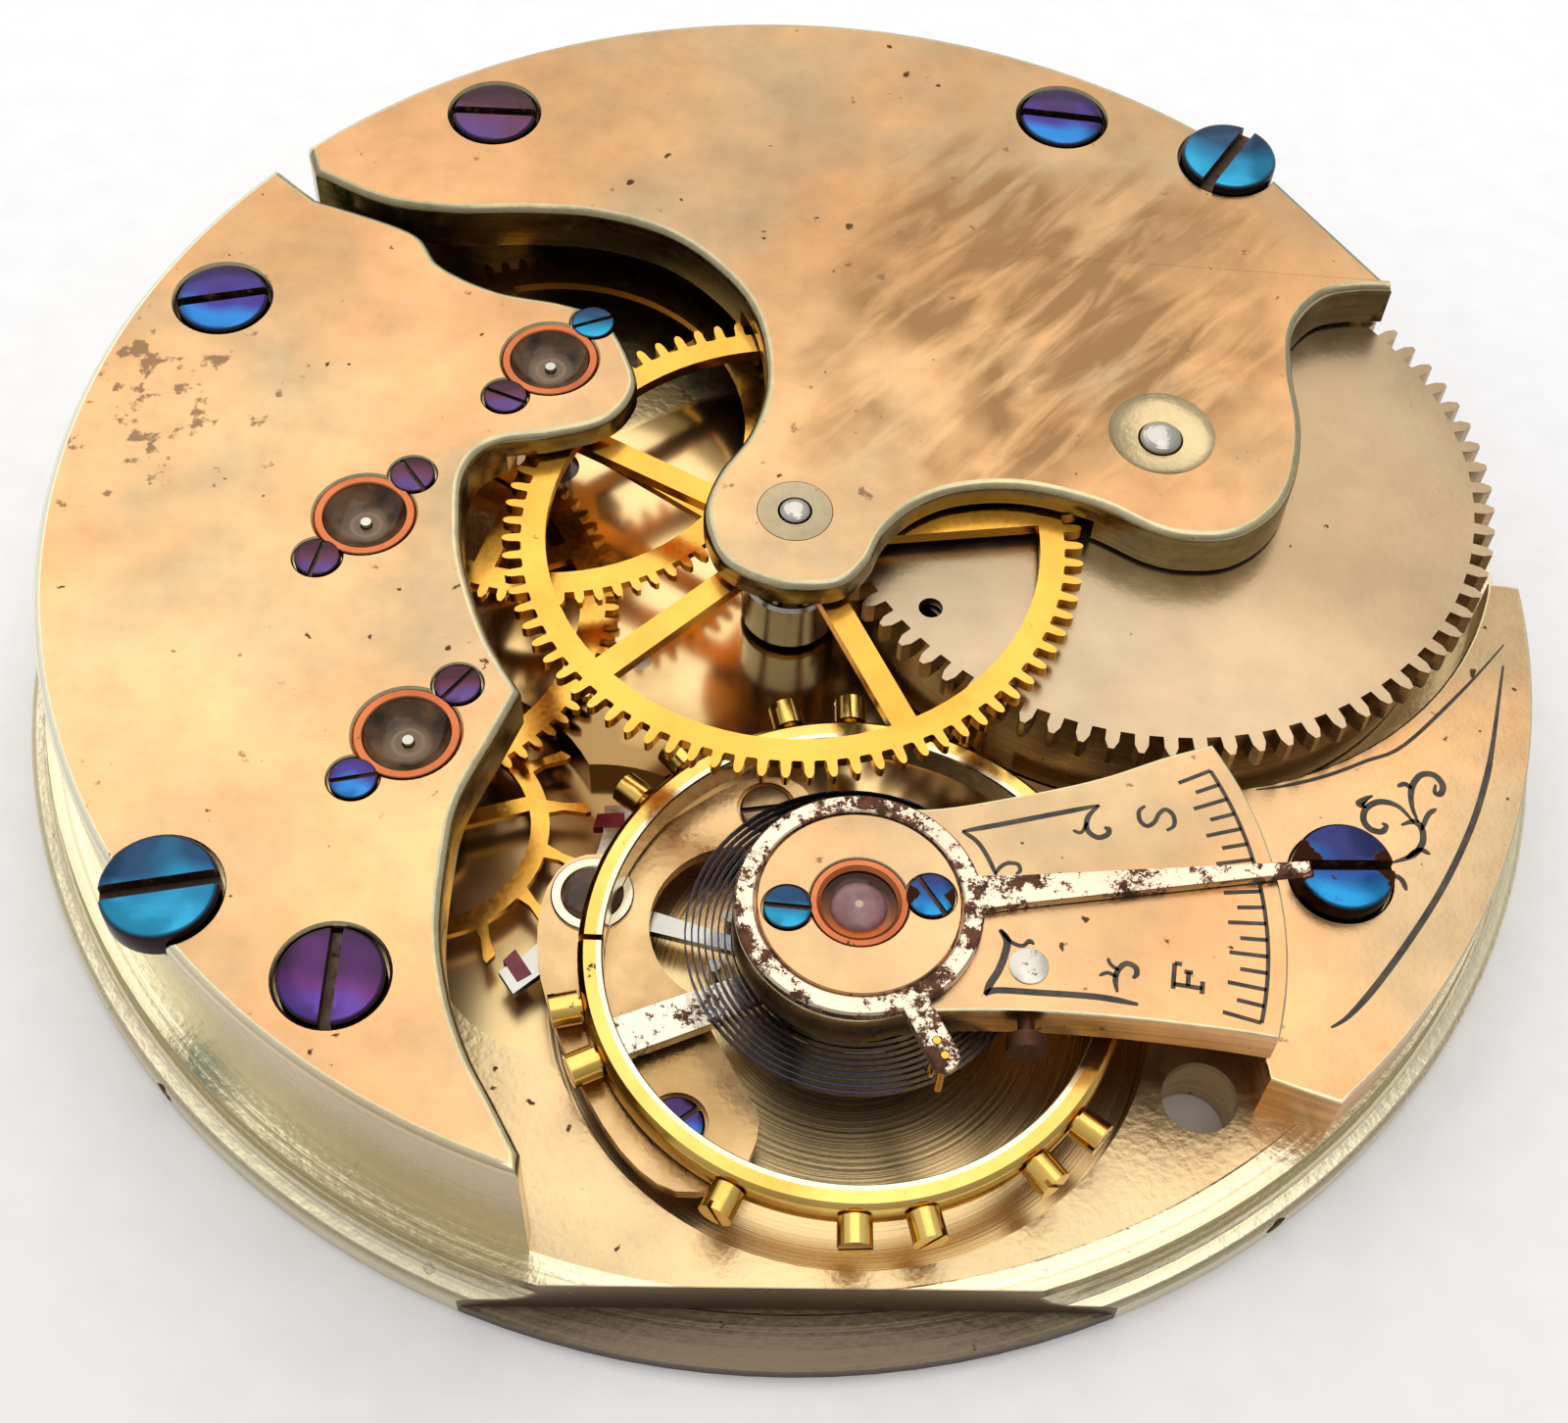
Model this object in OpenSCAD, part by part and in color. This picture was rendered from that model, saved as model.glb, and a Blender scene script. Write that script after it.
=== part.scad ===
// Pocket watch movement with separate barrel and train bridges and a lever escapement.
// Millimetres, z up. The origin is at the centre of the dial seat, on which the movement lies.
// The fourth wheel, which carries the seconds, lies towards -x and the winding stem enters from +y.

/* [Plates] */
// Radius of the flange that seats in the case
flange_r = 18.2; // [18.1:0.05:18.6]
// Height of the flange above the dial seat
flange_h = 0.7; // [0.6:0.05:0.8]
// Radius of the pillar plate above the flange
plate_r = 17.65; // [17.6:0.05:17.9]
// Height of the pillar plate's upper face
plate_top = 1.6; // [1.55:0.01:1.65]
// Distance from the centre to the flat milled beside the balance
flat_dist = 16.9; // [16.8:0.05:17.1]
// Direction in which that flat faces
flat_angle = -86.8; // [-90:0.1:-84]
// Outer radius of the barrel and train bridges
bridge_r = 17.05; // [16.95:0.05:17.3]
// Height of the bridges' upper face
bridge_top = 5.6; // [5.55:0.01:5.8]
// Thickness of the bridges where nothing turns under them
bridge_t = 1.25; // [1.15:0.01:1.3]
// Width of the wall that the bridges stand on along the rim
skirt_w = 1.25; // [1.1:0.05:1.3]
// Radius of the pillars around the bridge screws
pillar_r = 1.55; // [1.4:0.05:1.6]

/* [Train] */
// Distance from the centre wheel to the barrel
barrel_dist = 9.09; // [9.05:0.01:9.15]
// Direction of the barrel
barrel_angle = 19.9; // [19:0.1:21]
// Distance from the centre wheel to the third wheel
third_dist = 7.4; // [7.35:0.01:7.45]
// Direction of the third wheel
third_angle = 145.5; // [145:0.1:146]
// Distance from the third wheel to the fourth wheel
fourth_dist = 6.27; // [6.25:0.01:6.3]
// Direction of the fourth wheel from the third
fourth_angle = -125.5; // [-126:0.1:-125]
// Distance from the fourth wheel to the escape wheel
escape_dist = 6.1; // [6.05:0.01:6.15]
// Direction of the escape wheel from the fourth
escape_angle = -72.6; // [-73:0.1:-72]
// Distance from the escape wheel to the pallet fork's axis
pallet_dist = 4.37; // [4.35:0.01:4.4]
// Direction of the pallet fork's axis from the escape wheel
pallet_angle = -23.2; // [-24:0.1:-22]
// Distance from the pallet fork's axis to the balance
balance_dist = 5.92; // [5.9:0.01:5.96]
// Direction of the balance from the pallet fork's axis
balance_angle = -13.1; // [-14:0.1:-12]
// Teeth on the barrel
barrel_teeth = 76; // [72:1:80]
// Leaves on the centre pinion
centre_leaves = 10; // [10:1:12]
// Teeth on the centre wheel
centre_teeth = 80; // [75:1:80]
// Leaves on the third pinion
third_leaves = 10; // [10:1:12]
// Teeth on the third wheel
third_teeth = 75; // [72:1:80]
// Leaves on the fourth pinion
fourth_leaves = 10; // [10:1:12]
// Teeth on the fourth wheel
fourth_teeth = 80; // [75:1:80]
// Leaves on the escape pinion
escape_leaves = 8; // [7:1:10]
// Thickness of the centre wheel
centre_t = 0.3; // [0.25:0.01:0.32]
// Thickness of the third and fourth wheels
wheel_t = 0.22; // [0.18:0.01:0.24]
// Radius of the wheel arbors
arbor_r = 0.34; // [0.3:0.01:0.38]
// Radius of the pivots that run in the train jewels
pivot_r = 0.12; // [0.1:0.01:0.14]

/* [Barrel] */
// Radius of the barrel's drum
drum_r = 7.6; // [7.5:0.02:7.66]
// Height of the barrel's upper face
barrel_top = 4.25; // [4.2:0.01:4.27]
// Height of the toothed band at the barrel's top
barrel_band = 0.6; // [0.5:0.01:0.65]
// Thickness of the barrel's wall
drum_wall = 0.4; // [0.35:0.01:0.45]
// Radius of the arbor's core, where the mainspring hooks on
core_r = 1.6; // [1.5:0.05:1.7]
// Width of the arbor's square, which carries the ratchet wheel
arbor_square = 1.3; // [1.2:0.05:1.4]
// Turns of the mainspring
mainspring_turns = 10; // [8:1:11]
// Thickness of the mainspring's strip
mainspring_t = 0.16; // [0.12:0.01:0.2]

/* [Escapement] */
// Teeth of the escape wheel
escape_teeth = 15; // [15:1:15]
// Thickness of the escape wheel
escape_t = 0.18; // [0.15:0.01:0.2]
// Thickness of the pallet fork
fork_t = 0.22; // [0.2:0.01:0.24]
// Radius of the circle that the roller jewel moves on
jewel_circle = 1.75; // [1.7:0.01:1.8]
// Radius of the roller table
roller_r = 2.05; // [2:0.01:2.1]
// Radius of the roller jewel
roller_jewel_r = 0.16; // [0.14:0.01:0.17]
// Width of the pallet stones
stone_w = 0.36; // [0.3:0.01:0.38]
// Gap between the stones' tips and the escape teeth with the fork in the middle
stone_tip = 0.035; // [0.03:0.001:0.05]
// Turn of the escape wheel from the line to the fork, in degrees
escape_phase = 0.3; // [0.2:0.05:0.4]
// Turn of the balance from its dead point, in degrees
balance_phase = 90; // [67.5:22.5:112.5]
// Swing of the pallet fork to either side, in degrees
fork_swing = 5; // [4:0.5:5.5]

/* [Balance] */
// Outer radius of the balance rim
rim_r = 5.9; // [5.8:0.02:5.96]
// Height of the rim's upper face
rim_top = 3.05; // [3:0.01:3.1]
// Height of the rim
rim_h = 0.75; // [0.7:0.01:0.78]
// Thickness of the rim's outer brass layer
brass_t = 0.42; // [0.35:0.01:0.45]
// Thickness of the rim's inner steel layer
steel_t = 0.26; // [0.2:0.01:0.3]
// Width of the arm near the hub
arm_w = 0.95; // [0.8:0.05:1]
// Angle of the arm
arm_angle = -154.5; // [-156:0.5:-150]
// Radius of the screws in the rim
rim_screw_r = 0.37; // [0.3:0.01:0.38]
// How far those screws' heads stand out from the rim
rim_screw_out = 0.68; // [0.6:0.01:0.7]
// Turns of the hairspring
hair_turns = 5; // [4:0.5:5]
// Thickness of the hairspring's strip
hair_t = 0.06; // [0.05:0.005:0.065]
// Height of the hairspring's strip
hair_h = 0.2; // [0.15:0.01:0.24]
// Radius of the hairspring's outer coil
hair_r = 3.64; // [3.6:0.01:3.68]

/* [Balance cock] */
// Outer radius of the cock's foot
foot_r = 17.55; // [17.4:0.05:17.6]
// Height of the foot's upper face
foot_top = 3.15; // [3.1:0.01:3.25]
// Height of the index table
table_top = 4.8; // [4.75:0.01:4.85]
// Thickness of the cock over the balance
cock_t = 0.95; // [0.9:0.01:1]
// Radius of the table's curved end about the balance
table_r = 8.92; // [8.8:0.02:9]
// Radius of the round boss that the regulator turns on
boss_r = 2.14; // [2.1:0.01:2.18]
// Thickness of the regulator
regulator_t = 0.22; // [0.2:0.01:0.25]
// Outer radius of the regulator's ring
regulator_r = 2.6; // [2.55:0.01:2.65]
// Length of the regulator's pointer from the balance axis
pointer_l = 9.6; // [9.4:0.1:10]
// Direction of the pointer
pointer_angle = 9.4; // [8:0.1:11]
// Direction of the regulator's tail
tail_angle = -61.5; // [-63:0.5:-60]

/* [Jewels and screws] */
// Radius of the train jewels' settings
setting_r = 1.15; // [1.1:0.01:1.18]
// Radius of the train jewels
jewel_r = 0.82; // [0.78:0.01:0.86]
// Radius of the jewels in the pillar plate
low_jewel_r = 0.55; // [0.5:0.01:0.6]
// Thickness of the jewels
jewel_t = 0.22; // [0.2:0.01:0.24]
// Radius of the round oil sinks in the jewels
oil_sink_r = 0.6; // [0.5:0.01:0.7]
// Radius of the small screws that hold the settings
small_screw_r = 0.51; // [0.48:0.01:0.52]
// Radius of the bridge screws' heads
bridge_screw_r = 1.09; // [1.05:0.01:1.15]
// Radius of the case screws' heads
case_screw_r = 1.22; // [1.15:0.01:1.25]
// Height of the case screws' heads above the bridges
case_screw_up = 0.25; // [0.2:0.01:0.3]
// Thickness of the bridge and case screws' heads
head_t = 0.7; // [0.65:0.01:0.72]
// Radius of the bridge screws' shanks
shank_r = 0.5; // [0.45:0.01:0.55]
// Radius of the case screws' shanks
case_shank_r = 0.35; // [0.3:0.01:0.38]
// Radius of the holes for the dial's feet
dial_foot_r = 0.82; // [0.75:0.01:0.85]

/* [Dial side] */
// Depth of the recess for the winding and motion wheels
recess_depth = 0.55; // [0.5:0.01:0.6]
// Distance from the cannon pinion to the minute wheel
minute_dist = 3.84; // [3.8:0.01:3.86]
// Direction of the minute wheel
minute_angle = 205; // [200:1:210]
// Leaves on the cannon pinion
cannon_leaves = 12; // [12:1:12]
// Teeth on the minute wheel
minute_teeth = 36; // [36:1:36]
// Leaves on the minute pinion
minute_leaves = 10; // [10:1:10]
// Teeth on the hour wheel
hour_teeth = 40; // [40:1:40]
// Teeth on the ratchet wheel
ratchet_teeth = 48; // [46:1:50]
// Teeth on the crown wheel
crown_teeth = 50; // [48:1:52]
// Height of the winding stem's axis
stem_z = 2.05; // [2:0.01:2.1]
// Radius of the winding pinion's bearing
stem_r = 0.8; // [0.75:0.01:0.85]
// Width of the square hole for the stem
stem_square = 0.72; // [0.65:0.01:0.8]

/* [Clearances] */
// Gap around a pivot in its jewel
jewel_gap = 0.02; // [0.015:0.001:0.03]
// Gap around the larger bearings
run_gap = 0.04; // [0.03:0.005:0.05]
// Least gap above or below anything that turns
end_gap = 0.1; // [0.08:0.01:0.12]

/* [Hidden] */

$fn = 64;
eps = 0.01;
nickel = "#d9c3a0";
steel = "#c9ccd0";
blued = "#2a3f8f";
brass = "#dcae3a";
ruby = "#a8324a";
copper = "#b4553a";

function polar(r, a) = [r * cos(a), r * sin(a)];
function heading(v) = atan2(v[1], v[0]);

// Axes of everything that turns
centre_at = [0, 0];
barrel_at = polar(barrel_dist, barrel_angle);
third_at = polar(third_dist, third_angle);
fourth_at = third_at + polar(fourth_dist, fourth_angle);
escape_at = fourth_at + polar(escape_dist, escape_angle);
pallet_at = escape_at + polar(pallet_dist, pallet_angle);
balance_at = pallet_at + polar(balance_dist, balance_angle);
minute_at = polar(minute_dist, minute_angle);
crown_at = [0, 9.7];

// Modules of the meshes, from the distance between the axes
function mesh_module(distance, wheel, pinion) = 2 * distance / (wheel + pinion);
barrel_m = mesh_module(barrel_dist, barrel_teeth, centre_leaves);
centre_m = mesh_module(third_dist, centre_teeth, third_leaves);
third_m = mesh_module(fourth_dist, third_teeth, fourth_leaves);
fourth_m = mesh_module(escape_dist, fourth_teeth, escape_leaves);
cannon_m = mesh_module(minute_dist, minute_teeth, cannon_leaves);
hour_m = mesh_module(minute_dist, hour_teeth, minute_leaves);
winding_m = mesh_module(norm(crown_at - barrel_at), ratchet_teeth, crown_teeth);

// Tooth shape: addendum and dedendum in modules, then half widths in half pitches
wheel_tooth = [0.95, 1.35, 0.46, 0.5, 0.18];
pinion_tooth = [0.55, 1.6, 0.32, 0.28, 0.14];
winding_tooth = [0.8, 1.1, 0.42, 0.5, 0.2];
function pitch_r(teeth, m) = teeth * m / 2;
function tip_r(teeth, m, shape) = pitch_r(teeth, m) + shape[0] * m;
function root_r(teeth, m, shape) = pitch_r(teeth, m) - shape[1] * m;
barrel_tip = tip_r(barrel_teeth, barrel_m, wheel_tooth);
function tooth_outline(teeth, m, shape, turn) = [for (i = [0:teeth - 1])
    for (p = [[root_r(teeth, m, shape), -shape[3]], [pitch_r(teeth, m), -shape[2]],
        [tip_r(teeth, m, shape), -shape[4]], [tip_r(teeth, m, shape), shape[4]],
        [pitch_r(teeth, m), shape[2]], [root_r(teeth, m, shape), shape[3]]])
    polar(p[0], turn + (i + p[1] / 2) * 360 / teeth)];
// A gear turned so that a gap, or a tooth, points along a direction
function gap_to(teeth, direction) = direction + 180 / teeth;

// Heights of the train, from the plate upwards
recess_floor = 0.95;
fork_z = recess_floor + 0.55;
fourth_z = fork_z + 0.45;
third_z = fourth_z + 1.18;
centre_z = bridge_top - 1.1;
thin_under = centre_z + centre_t + 0.15;
barrel_z = barrel_top - barrel_band;
setting_z = bridge_top - 0.45;
pivot_top = setting_z + jewel_t - 0.05;
low_jewel_z = recess_floor - 0.1 - jewel_t;
plate_jewel_z = plate_top - 0.15 - jewel_t;
well_floor = plate_top - 0.45;
sheet_under = bridge_top - bridge_t;

// Escapement sizes
escape_r = pallet_dist * cos(30);
stone_dist = pallet_dist * sin(30);
notch_dist = balance_dist - jewel_circle;
recess_r = 3.8;
balance_recess_r = 6.64;
arm_z = rim_top - 0.6;
arm_t = 0.3;
rim_in = rim_r - brass_t - steel_t;
hub_r = 0.9;
roller_z = arm_z - 0.47;
roller_t = 0.2;
cock_under = table_top - cock_t;
hair_z = cock_under - 0.4;
regulator_z = table_top + run_gap;
boss_top = regulator_z + regulator_t - 0.02;
stud_at = balance_at + polar(hair_r + 0.06, -17.5);
stud_r = 0.2;

// Places are drawn for these radii of the bridges and of the cock's foot. Beyond the train they
// move out with the rim, so that they keep their share of the band between the two.
drawn_bridge_r = 17.05;
drawn_foot_r = 17.55;
train_reach = 9;
function moved_out(v, drawn, now) = v * (1 + (now - drawn) * max(0, norm(v) - train_reach)
    / (drawn - train_reach) / norm(v));
function on_bridge(points) = [for (p = points) moved_out(p, drawn_bridge_r, bridge_r)];
function on_foot(points) = [for (p = points) moved_out(p, drawn_foot_r, foot_r)];

// Screws, each by its place on the plates
bridge_screw_at = on_bridge([[-14.2, 5.46], [-8.55, -12.56], [-8.5, 12.65], [6.33, 13.92]]);
case_screw_at = on_bridge([[-12.28, -10.92], [10.64, 12.62]]);
cock_screw_at = on_foot([[12.5, -7.3]])[0];
pallet_screw_at = [[-1.62, -13.7], [-0.2, -5.9]];
foot_inset = 2.85;
dial_foot_at = [for (a = [-52, -134.5, 112]) polar(flange_r - foot_inset, a)];
third_screw_at = [[-5.19, 5.46], [-7.01, 2.91]];
fourth_screw_at = [[-8.83, 0.33], [-10.59, -2.22]];
escape_screw_at = [[-7.01, -5.41], [-8.86, -7.95]];
cap_screw_dist = 1.5;

// A smooth curve through control points
function spline_point(a, b, c, d, t) = 0.5 * ((2 * b) + (c - a) * t
    + (2 * a - 5 * b + 4 * c - d) * t * t + (3 * b - a - 3 * c + d) * t * t * t);
function smooth(points, steps) = let (last = len(points) - 1)
    concat([for (i = [0:last - 1]) for (s = [0:steps - 1])
        spline_point(points[max(i - 1, 0)], points[i], points[i + 1],
            points[min(i + 2, last)], s / steps)], [points[last]]);
function arc(r, from, to, steps, at = [0, 0]) =
    [for (i = [0:steps]) at + polar(r, from + (to - from) * i / steps)];

// Edges of the bridges, seen from above
train_edge_a = [[-12.56, 9.1], [-10, 8.19], [-9.1, 7.1], [-7.64, 6.37],
    [-6, 6.1], [-4.9, 5.64], [-4.1, 4.19], [-4, 3.28], [-4.55, 2.37], [-5.82, 1.82],
    [-7.1, 1.46], [-7.64, 0.55], [-7.55, -0.91], [-7.28, -2.18], [-6.55, -4], [-5.7, -5.35]];
train_edge_b = [[-5.64, -5.46], [-6, -6.55], [-6.55, -8.19], [-6.64, -9.46], [-6.55, -11.28],
    [-6.19, -12.74], [-5.64, -14], [-4.95, -15.1], [-4.4, -16]];
barrel_edge = [[-12.74, 10.01], [-10.92, 9.19], [-9.1, 9.01], [-7.28, 9.19],
    [-5.46, 9.19], [-3.64, 8.65], [-2.18, 7.46], [-1.27, 6.01], [-0.91, 4], [-1.18, 2.37],
    [-1.82, 1.09], [-2.09, 0], [-1.91, -0.91], [-1.46, -1.64], [-0.55, -2.09], [0.4, -2.16],
    [1.2, -1.95], [1.75, -1.3], [2.1, -0.4], [2.8, 0.45], [3.82, 1], [5.28, 1.18], [6.92, 0.82],
    [8.19, 0.18], [9.1, 0], [10.19, 0.18], [11.1, 0.91], [11.65, 2], [11.92, 3.64],
    [11.83, 5.46], [12.01, 6.92], [12.74, 8.01], [13.65, 8.37], [14.56, 8.46]];
train_outline = concat(arc(bridge_r, heading([-4.28, -16.1]), heading([-13.74, 10.1]) - 360, 60),
    smooth(on_bridge(train_edge_a), 4), smooth(on_bridge(train_edge_b), 4));
barrel_outline = concat(arc(bridge_r, 47.6, heading([-13.1, 10.92]), 60),
    smooth(on_bridge(barrel_edge), 4));

module place(at, z = 0) {
    translate([at[0], at[1], z]) children();
}

module disc(r, h, z = 0, at = [0, 0]) {
    place(at, z) cylinder(r = r, h = h);
}

module ring(outer, inner, h, z, at) {
    place(at, z) difference() {
        cylinder(r = outer, h = h);
        translate([0, 0, -eps]) cylinder(r = inner, h = h + 2 * eps);
    }
}

// A slotted screw: head, shank and slot
module screw(at, top, head_r, head_h, shank, length, turn) {
    place(at) difference() {
        union() {
            disc(head_r, head_h, top - head_h);
            disc(shank, length, top - head_h - length);
        }
        rotate(turn) translate([-head_r * 2, -head_r * 0.13, top - head_h * 0.45])
            cube([head_r * 4, head_r * 0.26, head_h]);
    }
}

// The hole that a screw goes into
module screw_hole(at, top, head_r, head_h, shank, depth) {
    disc(head_r + run_gap * 1.5, head_h + 1, top - head_h, at);
    disc(shank, head_h + depth, top - head_h - depth, at);
}

module gear(teeth, m, shape, turn, z, h) {
    translate([0, 0, z]) linear_extrude(h) polygon(tooth_outline(teeth, m, shape, turn));
}

// A wheel with a toothed ring, arms and a hub that fits its arbor
module wheel(at, teeth, m, turn, z, h, ring_w, arms, arm_turn, arm_width, hub, bore) {
    inner = root_r(teeth, m, wheel_tooth) - ring_w;
    place(at) difference() {
        gear(teeth, m, wheel_tooth, turn, z, h);
        difference() {
            disc(inner, h * 3, z - h);
            disc(hub, h * 5, z - 2 * h);
            for (i = [0:arms - 1]) rotate(arm_turn + i * 360 / arms)
                translate([0, -arm_width / 2, z - 2 * h]) cube([inner + 1, arm_width, h * 5]);
        }
        disc(bore, h * 3, z - h);
    }
}

// An arbor with a pinion, shoulders and a pivot at either end
module pinion(at, leaves, m, turn, z, h, low, high, body_low, body_high, seat_z, seat_r) {
    place(at) {
        disc(pivot_r, body_low - low, low);
        disc(arbor_r, body_high - body_low, body_low);
        disc(pivot_r, high - body_high, body_high);
        gear(leaves, m, pinion_tooth, turn, z, h);
        disc(seat_r, wheel_t + 0.3, seat_z - 0.15);
    }
}

module pillar_plate() {
    color(nickel) difference() {
        rotate_extrude($fn = 180) polygon([[0, 0], [flange_r, 0], [flange_r, flange_h - 0.12],
            [flange_r - 0.12, flange_h], [plate_r + 0.18, flange_h + 0.04],
            [plate_r + 0.08, flange_h + 0.16], [plate_r, flange_h + 0.45], [plate_r, plate_top],
            [0, plate_top]]);
        rotate(flat_angle) translate([flat_dist, -20, flange_h * 0.5]) cube([5, 40, 5]);
        disc(balance_recess_r, 5, recess_floor, balance_at);
        disc(recess_r, 5, recess_floor, pallet_at);
        disc(escape_r + 0.3, 5, recess_floor, escape_at);
        disc(drum_r + 0.3, 5, well_floor, barrel_at);
        for (at = dial_foot_at) disc(dial_foot_r, 5, -1, at);
        low_bearing(third_at, plate_jewel_z, pivot_r + jewel_gap);
        low_bearing(fourth_at, plate_jewel_z, arbor_r * 0.7 + jewel_gap);
        for (at = [escape_at, pallet_at]) low_bearing(at, low_jewel_z, pivot_r);
        disc(low_jewel_r, 5, low_jewel_z - jewel_t, balance_at);
        disc(low_jewel_r * 0.6, 5, -1, balance_at);
        disc(centre_arbor_r + run_gap, 5, -1);
        disc(bearing_r + run_gap, 5, -1, barrel_at);
        // Recesses on the dial side
        disc(tip_r(ratchet_teeth, winding_m, winding_tooth) + 0.25, recess_depth + 1, -1, barrel_at);
        disc(tip_r(crown_teeth, winding_m, winding_tooth) + 0.25, recess_depth + 1, -1, crown_at);
        disc(contrate_r + 0.5, contrate_top + end_gap + 1, -1, crown_at);
        disc(tip_r(hour_teeth, hour_m, wheel_tooth) + 0.25, motion_depth + 1, -1);
        disc(tip_r(minute_teeth, cannon_m, wheel_tooth) + 0.25, motion_depth + 1, -1, minute_at);
        place(click_at, -1) rotate(beak_angle) translate([-2, -1.1, 0])
            cube([beak_l + 2.2, 3, recess_depth + 1]);
        // Pocket and bearing for the winding pinion
        translate([-stem_pinion_r - 0.2, pinion_y - 0.3, contrate_top - 0.2])
            cube([2 * stem_pinion_r + 0.4, pinion_w + 0.6, 5]);
        translate([0, pinion_y, stem_z]) rotate([-90, 0, 0]) cylinder(r = stem_r + run_gap, h = 8);
        // Threads of the screws
        for (at = bridge_screw_at) disc(shank_r, 5, 0.5, at);
        for (at = case_screw_at) disc(case_shank_r, 5, 0.75, at);
        disc(shank_r, 5, 0.5, cock_screw_at);
        for (at = pallet_screw_at) disc(pallet_shank_r, 5, 0.4, at);
        for (at = banking_at) disc(banking_r, 5, 0.4, at);
        for (at = dial_foot_at) rotate(heading(at)) translate([norm(at), 0, foot_screw_z])
            rotate([0, 90, 0]) disc(foot_screw_r, 5);
        disc(stud_pin_r, 5, -1, minute_at);
        disc(stud_pin_r, 1.05, -0.2, click_at);
    }
}

// The holes for a jewel in the pillar plate and for its pivot
module low_bearing(at, z, hole) {
    disc(low_jewel_r, 5, z, at);
    disc(hole + 0.15, 5, -1, at);
}

// Sizes of the dial side and of the winding work
centre_arbor_r = 0.5;
bearing_r = 0.8;
motion_depth = 0.72;
hour_z = 0.08;
minute_z = 0.38;
motion_t = 0.2;
winding_z = 0.08;
winding_t = recess_depth - 0.18;
contrate_r = 2.9;
contrate_top = 0.9;
contrate_teeth = 24;
stem_leaves = 10;
stem_m = 2 * contrate_r / contrate_teeth;
stem_pinion_r = stem_z - contrate_top + 0.2;
pinion_w = 0.8;
pinion_y = crown_at[1] + contrate_r - pinion_w / 2;
stud_pin_r = 0.3;
ratchet_tip = tip_r(ratchet_teeth, winding_m, winding_tooth);
click_heading = -75;
click_at = barrel_at + polar(ratchet_tip + 1.15, click_heading);
foot_screw_r = 0.26;
foot_screw_z = 0.36;
banking_r = 0.15;
banking_dist = 3;
banking_off = banking_dist * tan(fork_swing) + 0.38;
banking_at = [for (s = [-1, 1]) pallet_at + polar(banking_dist, balance_angle)
    + polar(banking_off, balance_angle + s * 90)];

// A bridge: a sheet on a wall along the rim, with pillars, thinned where wheels turn under it
module bridge(outline, pillars) {
    difference() {
        union() {
            translate([0, 0, sheet_under]) linear_extrude(bridge_t) polygon(outline);
            translate([0, 0, plate_top]) linear_extrude(sheet_under - plate_top + eps)
                intersection() {
                    polygon(outline);
                    union() {
                        difference() {
                            circle(r = bridge_r + 1);
                            circle(r = bridge_r - skirt_w);
                        }
                        for (at = pillars) translate(at) circle(r = pillar_r);
                    }
                }
        }
        translate([0, 0, sheet_under - 1]) linear_extrude(thin_under - sheet_under + 1)
            circle(r = tip_r(centre_teeth, centre_m, wheel_tooth) + 0.3);
        for (at = pillars) screw_hole(at, bridge_top + 0.05, bridge_screw_r, head_t, shank_r, 5);
        for (at = case_screw_at) {
            disc(case_screw_r + 0.08, 3, bridge_top + case_screw_up - head_t, at);
            disc(case_shank_r, 5, 1, at);
        }
    }
}

module train_bridge() {
    color(nickel) difference() {
        bridge(train_outline, [bridge_screw_at[0], bridge_screw_at[1]]);
        for (at = [third_at, fourth_at, escape_at]) {
            disc(setting_r, 3, setting_z, at);
            disc(jewel_r - 0.2, 4, 2, at);
        }
        disc(tip_r(third_leaves, centre_m, pinion_tooth) + 0.25, thin_under - 3, 3, third_at);
        for (at = concat(third_screw_at, fourth_screw_at, escape_screw_at))
            screw_hole(at, bridge_top + 0.02, small_screw_r, 0.2, 0.22, 0.45);
    }
}

module barrel_bridge() {
    color(nickel) difference() {
        bridge(barrel_outline, [bridge_screw_at[2], bridge_screw_at[3]]);
        disc(bush_r, 3, thin_under - 1);
        disc(barrel_tip + 0.3, sheet_under - 1, 1, barrel_at);
        disc(arbor_top_r + run_gap, 3, sheet_under - 1, barrel_at);
        disc(arbor_sink_r, 1, bridge_top - arbor_sink_depth, barrel_at);
        translate([0, 10, stem_z]) rotate([-90, 0, 0]) cylinder(r = stem_r + run_gap, h = 10);
    }
}
bush_r = 0.86;
arbor_top_r = 0.5;
arbor_sink_r = 1.27;
arbor_sink_depth = 0.28;

module centre_bush() {
    color(steel) ring(bush_r, centre_pivot_r + run_gap, bridge_top - thin_under, thin_under, centre_at);
}
centre_pivot_r = 0.36;

// The balance cock: a foot on the plate, and a raised table that reaches over the balance
module table_shape() {
    head = balance_at;
    polygon(concat(arc(table_r, -15.4, 31.5, 12, head),
        smooth([head + polar(table_r, 31.5), [8.4, -5.55], [6.98, -6.2], [5.26, -6.77], [3.24, -7.28],
            head + polar(regulator_r, 95)], 3),
        arc(regulator_r + 0.02, 100, 275, 24, head),
        smooth([head + polar(regulator_r, 282), [3.3, -12.1], [5.26, -11.94], [7.28, -11.94],
            [9.3, -12.05], head + polar(table_r, -15.4)], 3)));
}

module foot_shape() {
    corner = heading([12.05, -12.7]);
    intersection() {
        circle(r = foot_r, $fn = 180);
        polygon(concat(arc(foot_r + 1, corner, 4.5, 8),
            arc(barrel_tip + 0.22, -13, -84, 20, barrel_at),
            on_foot([[9.75, -7], [10.35, -11], [10.62, -12.3]])));
    }
}

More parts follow.
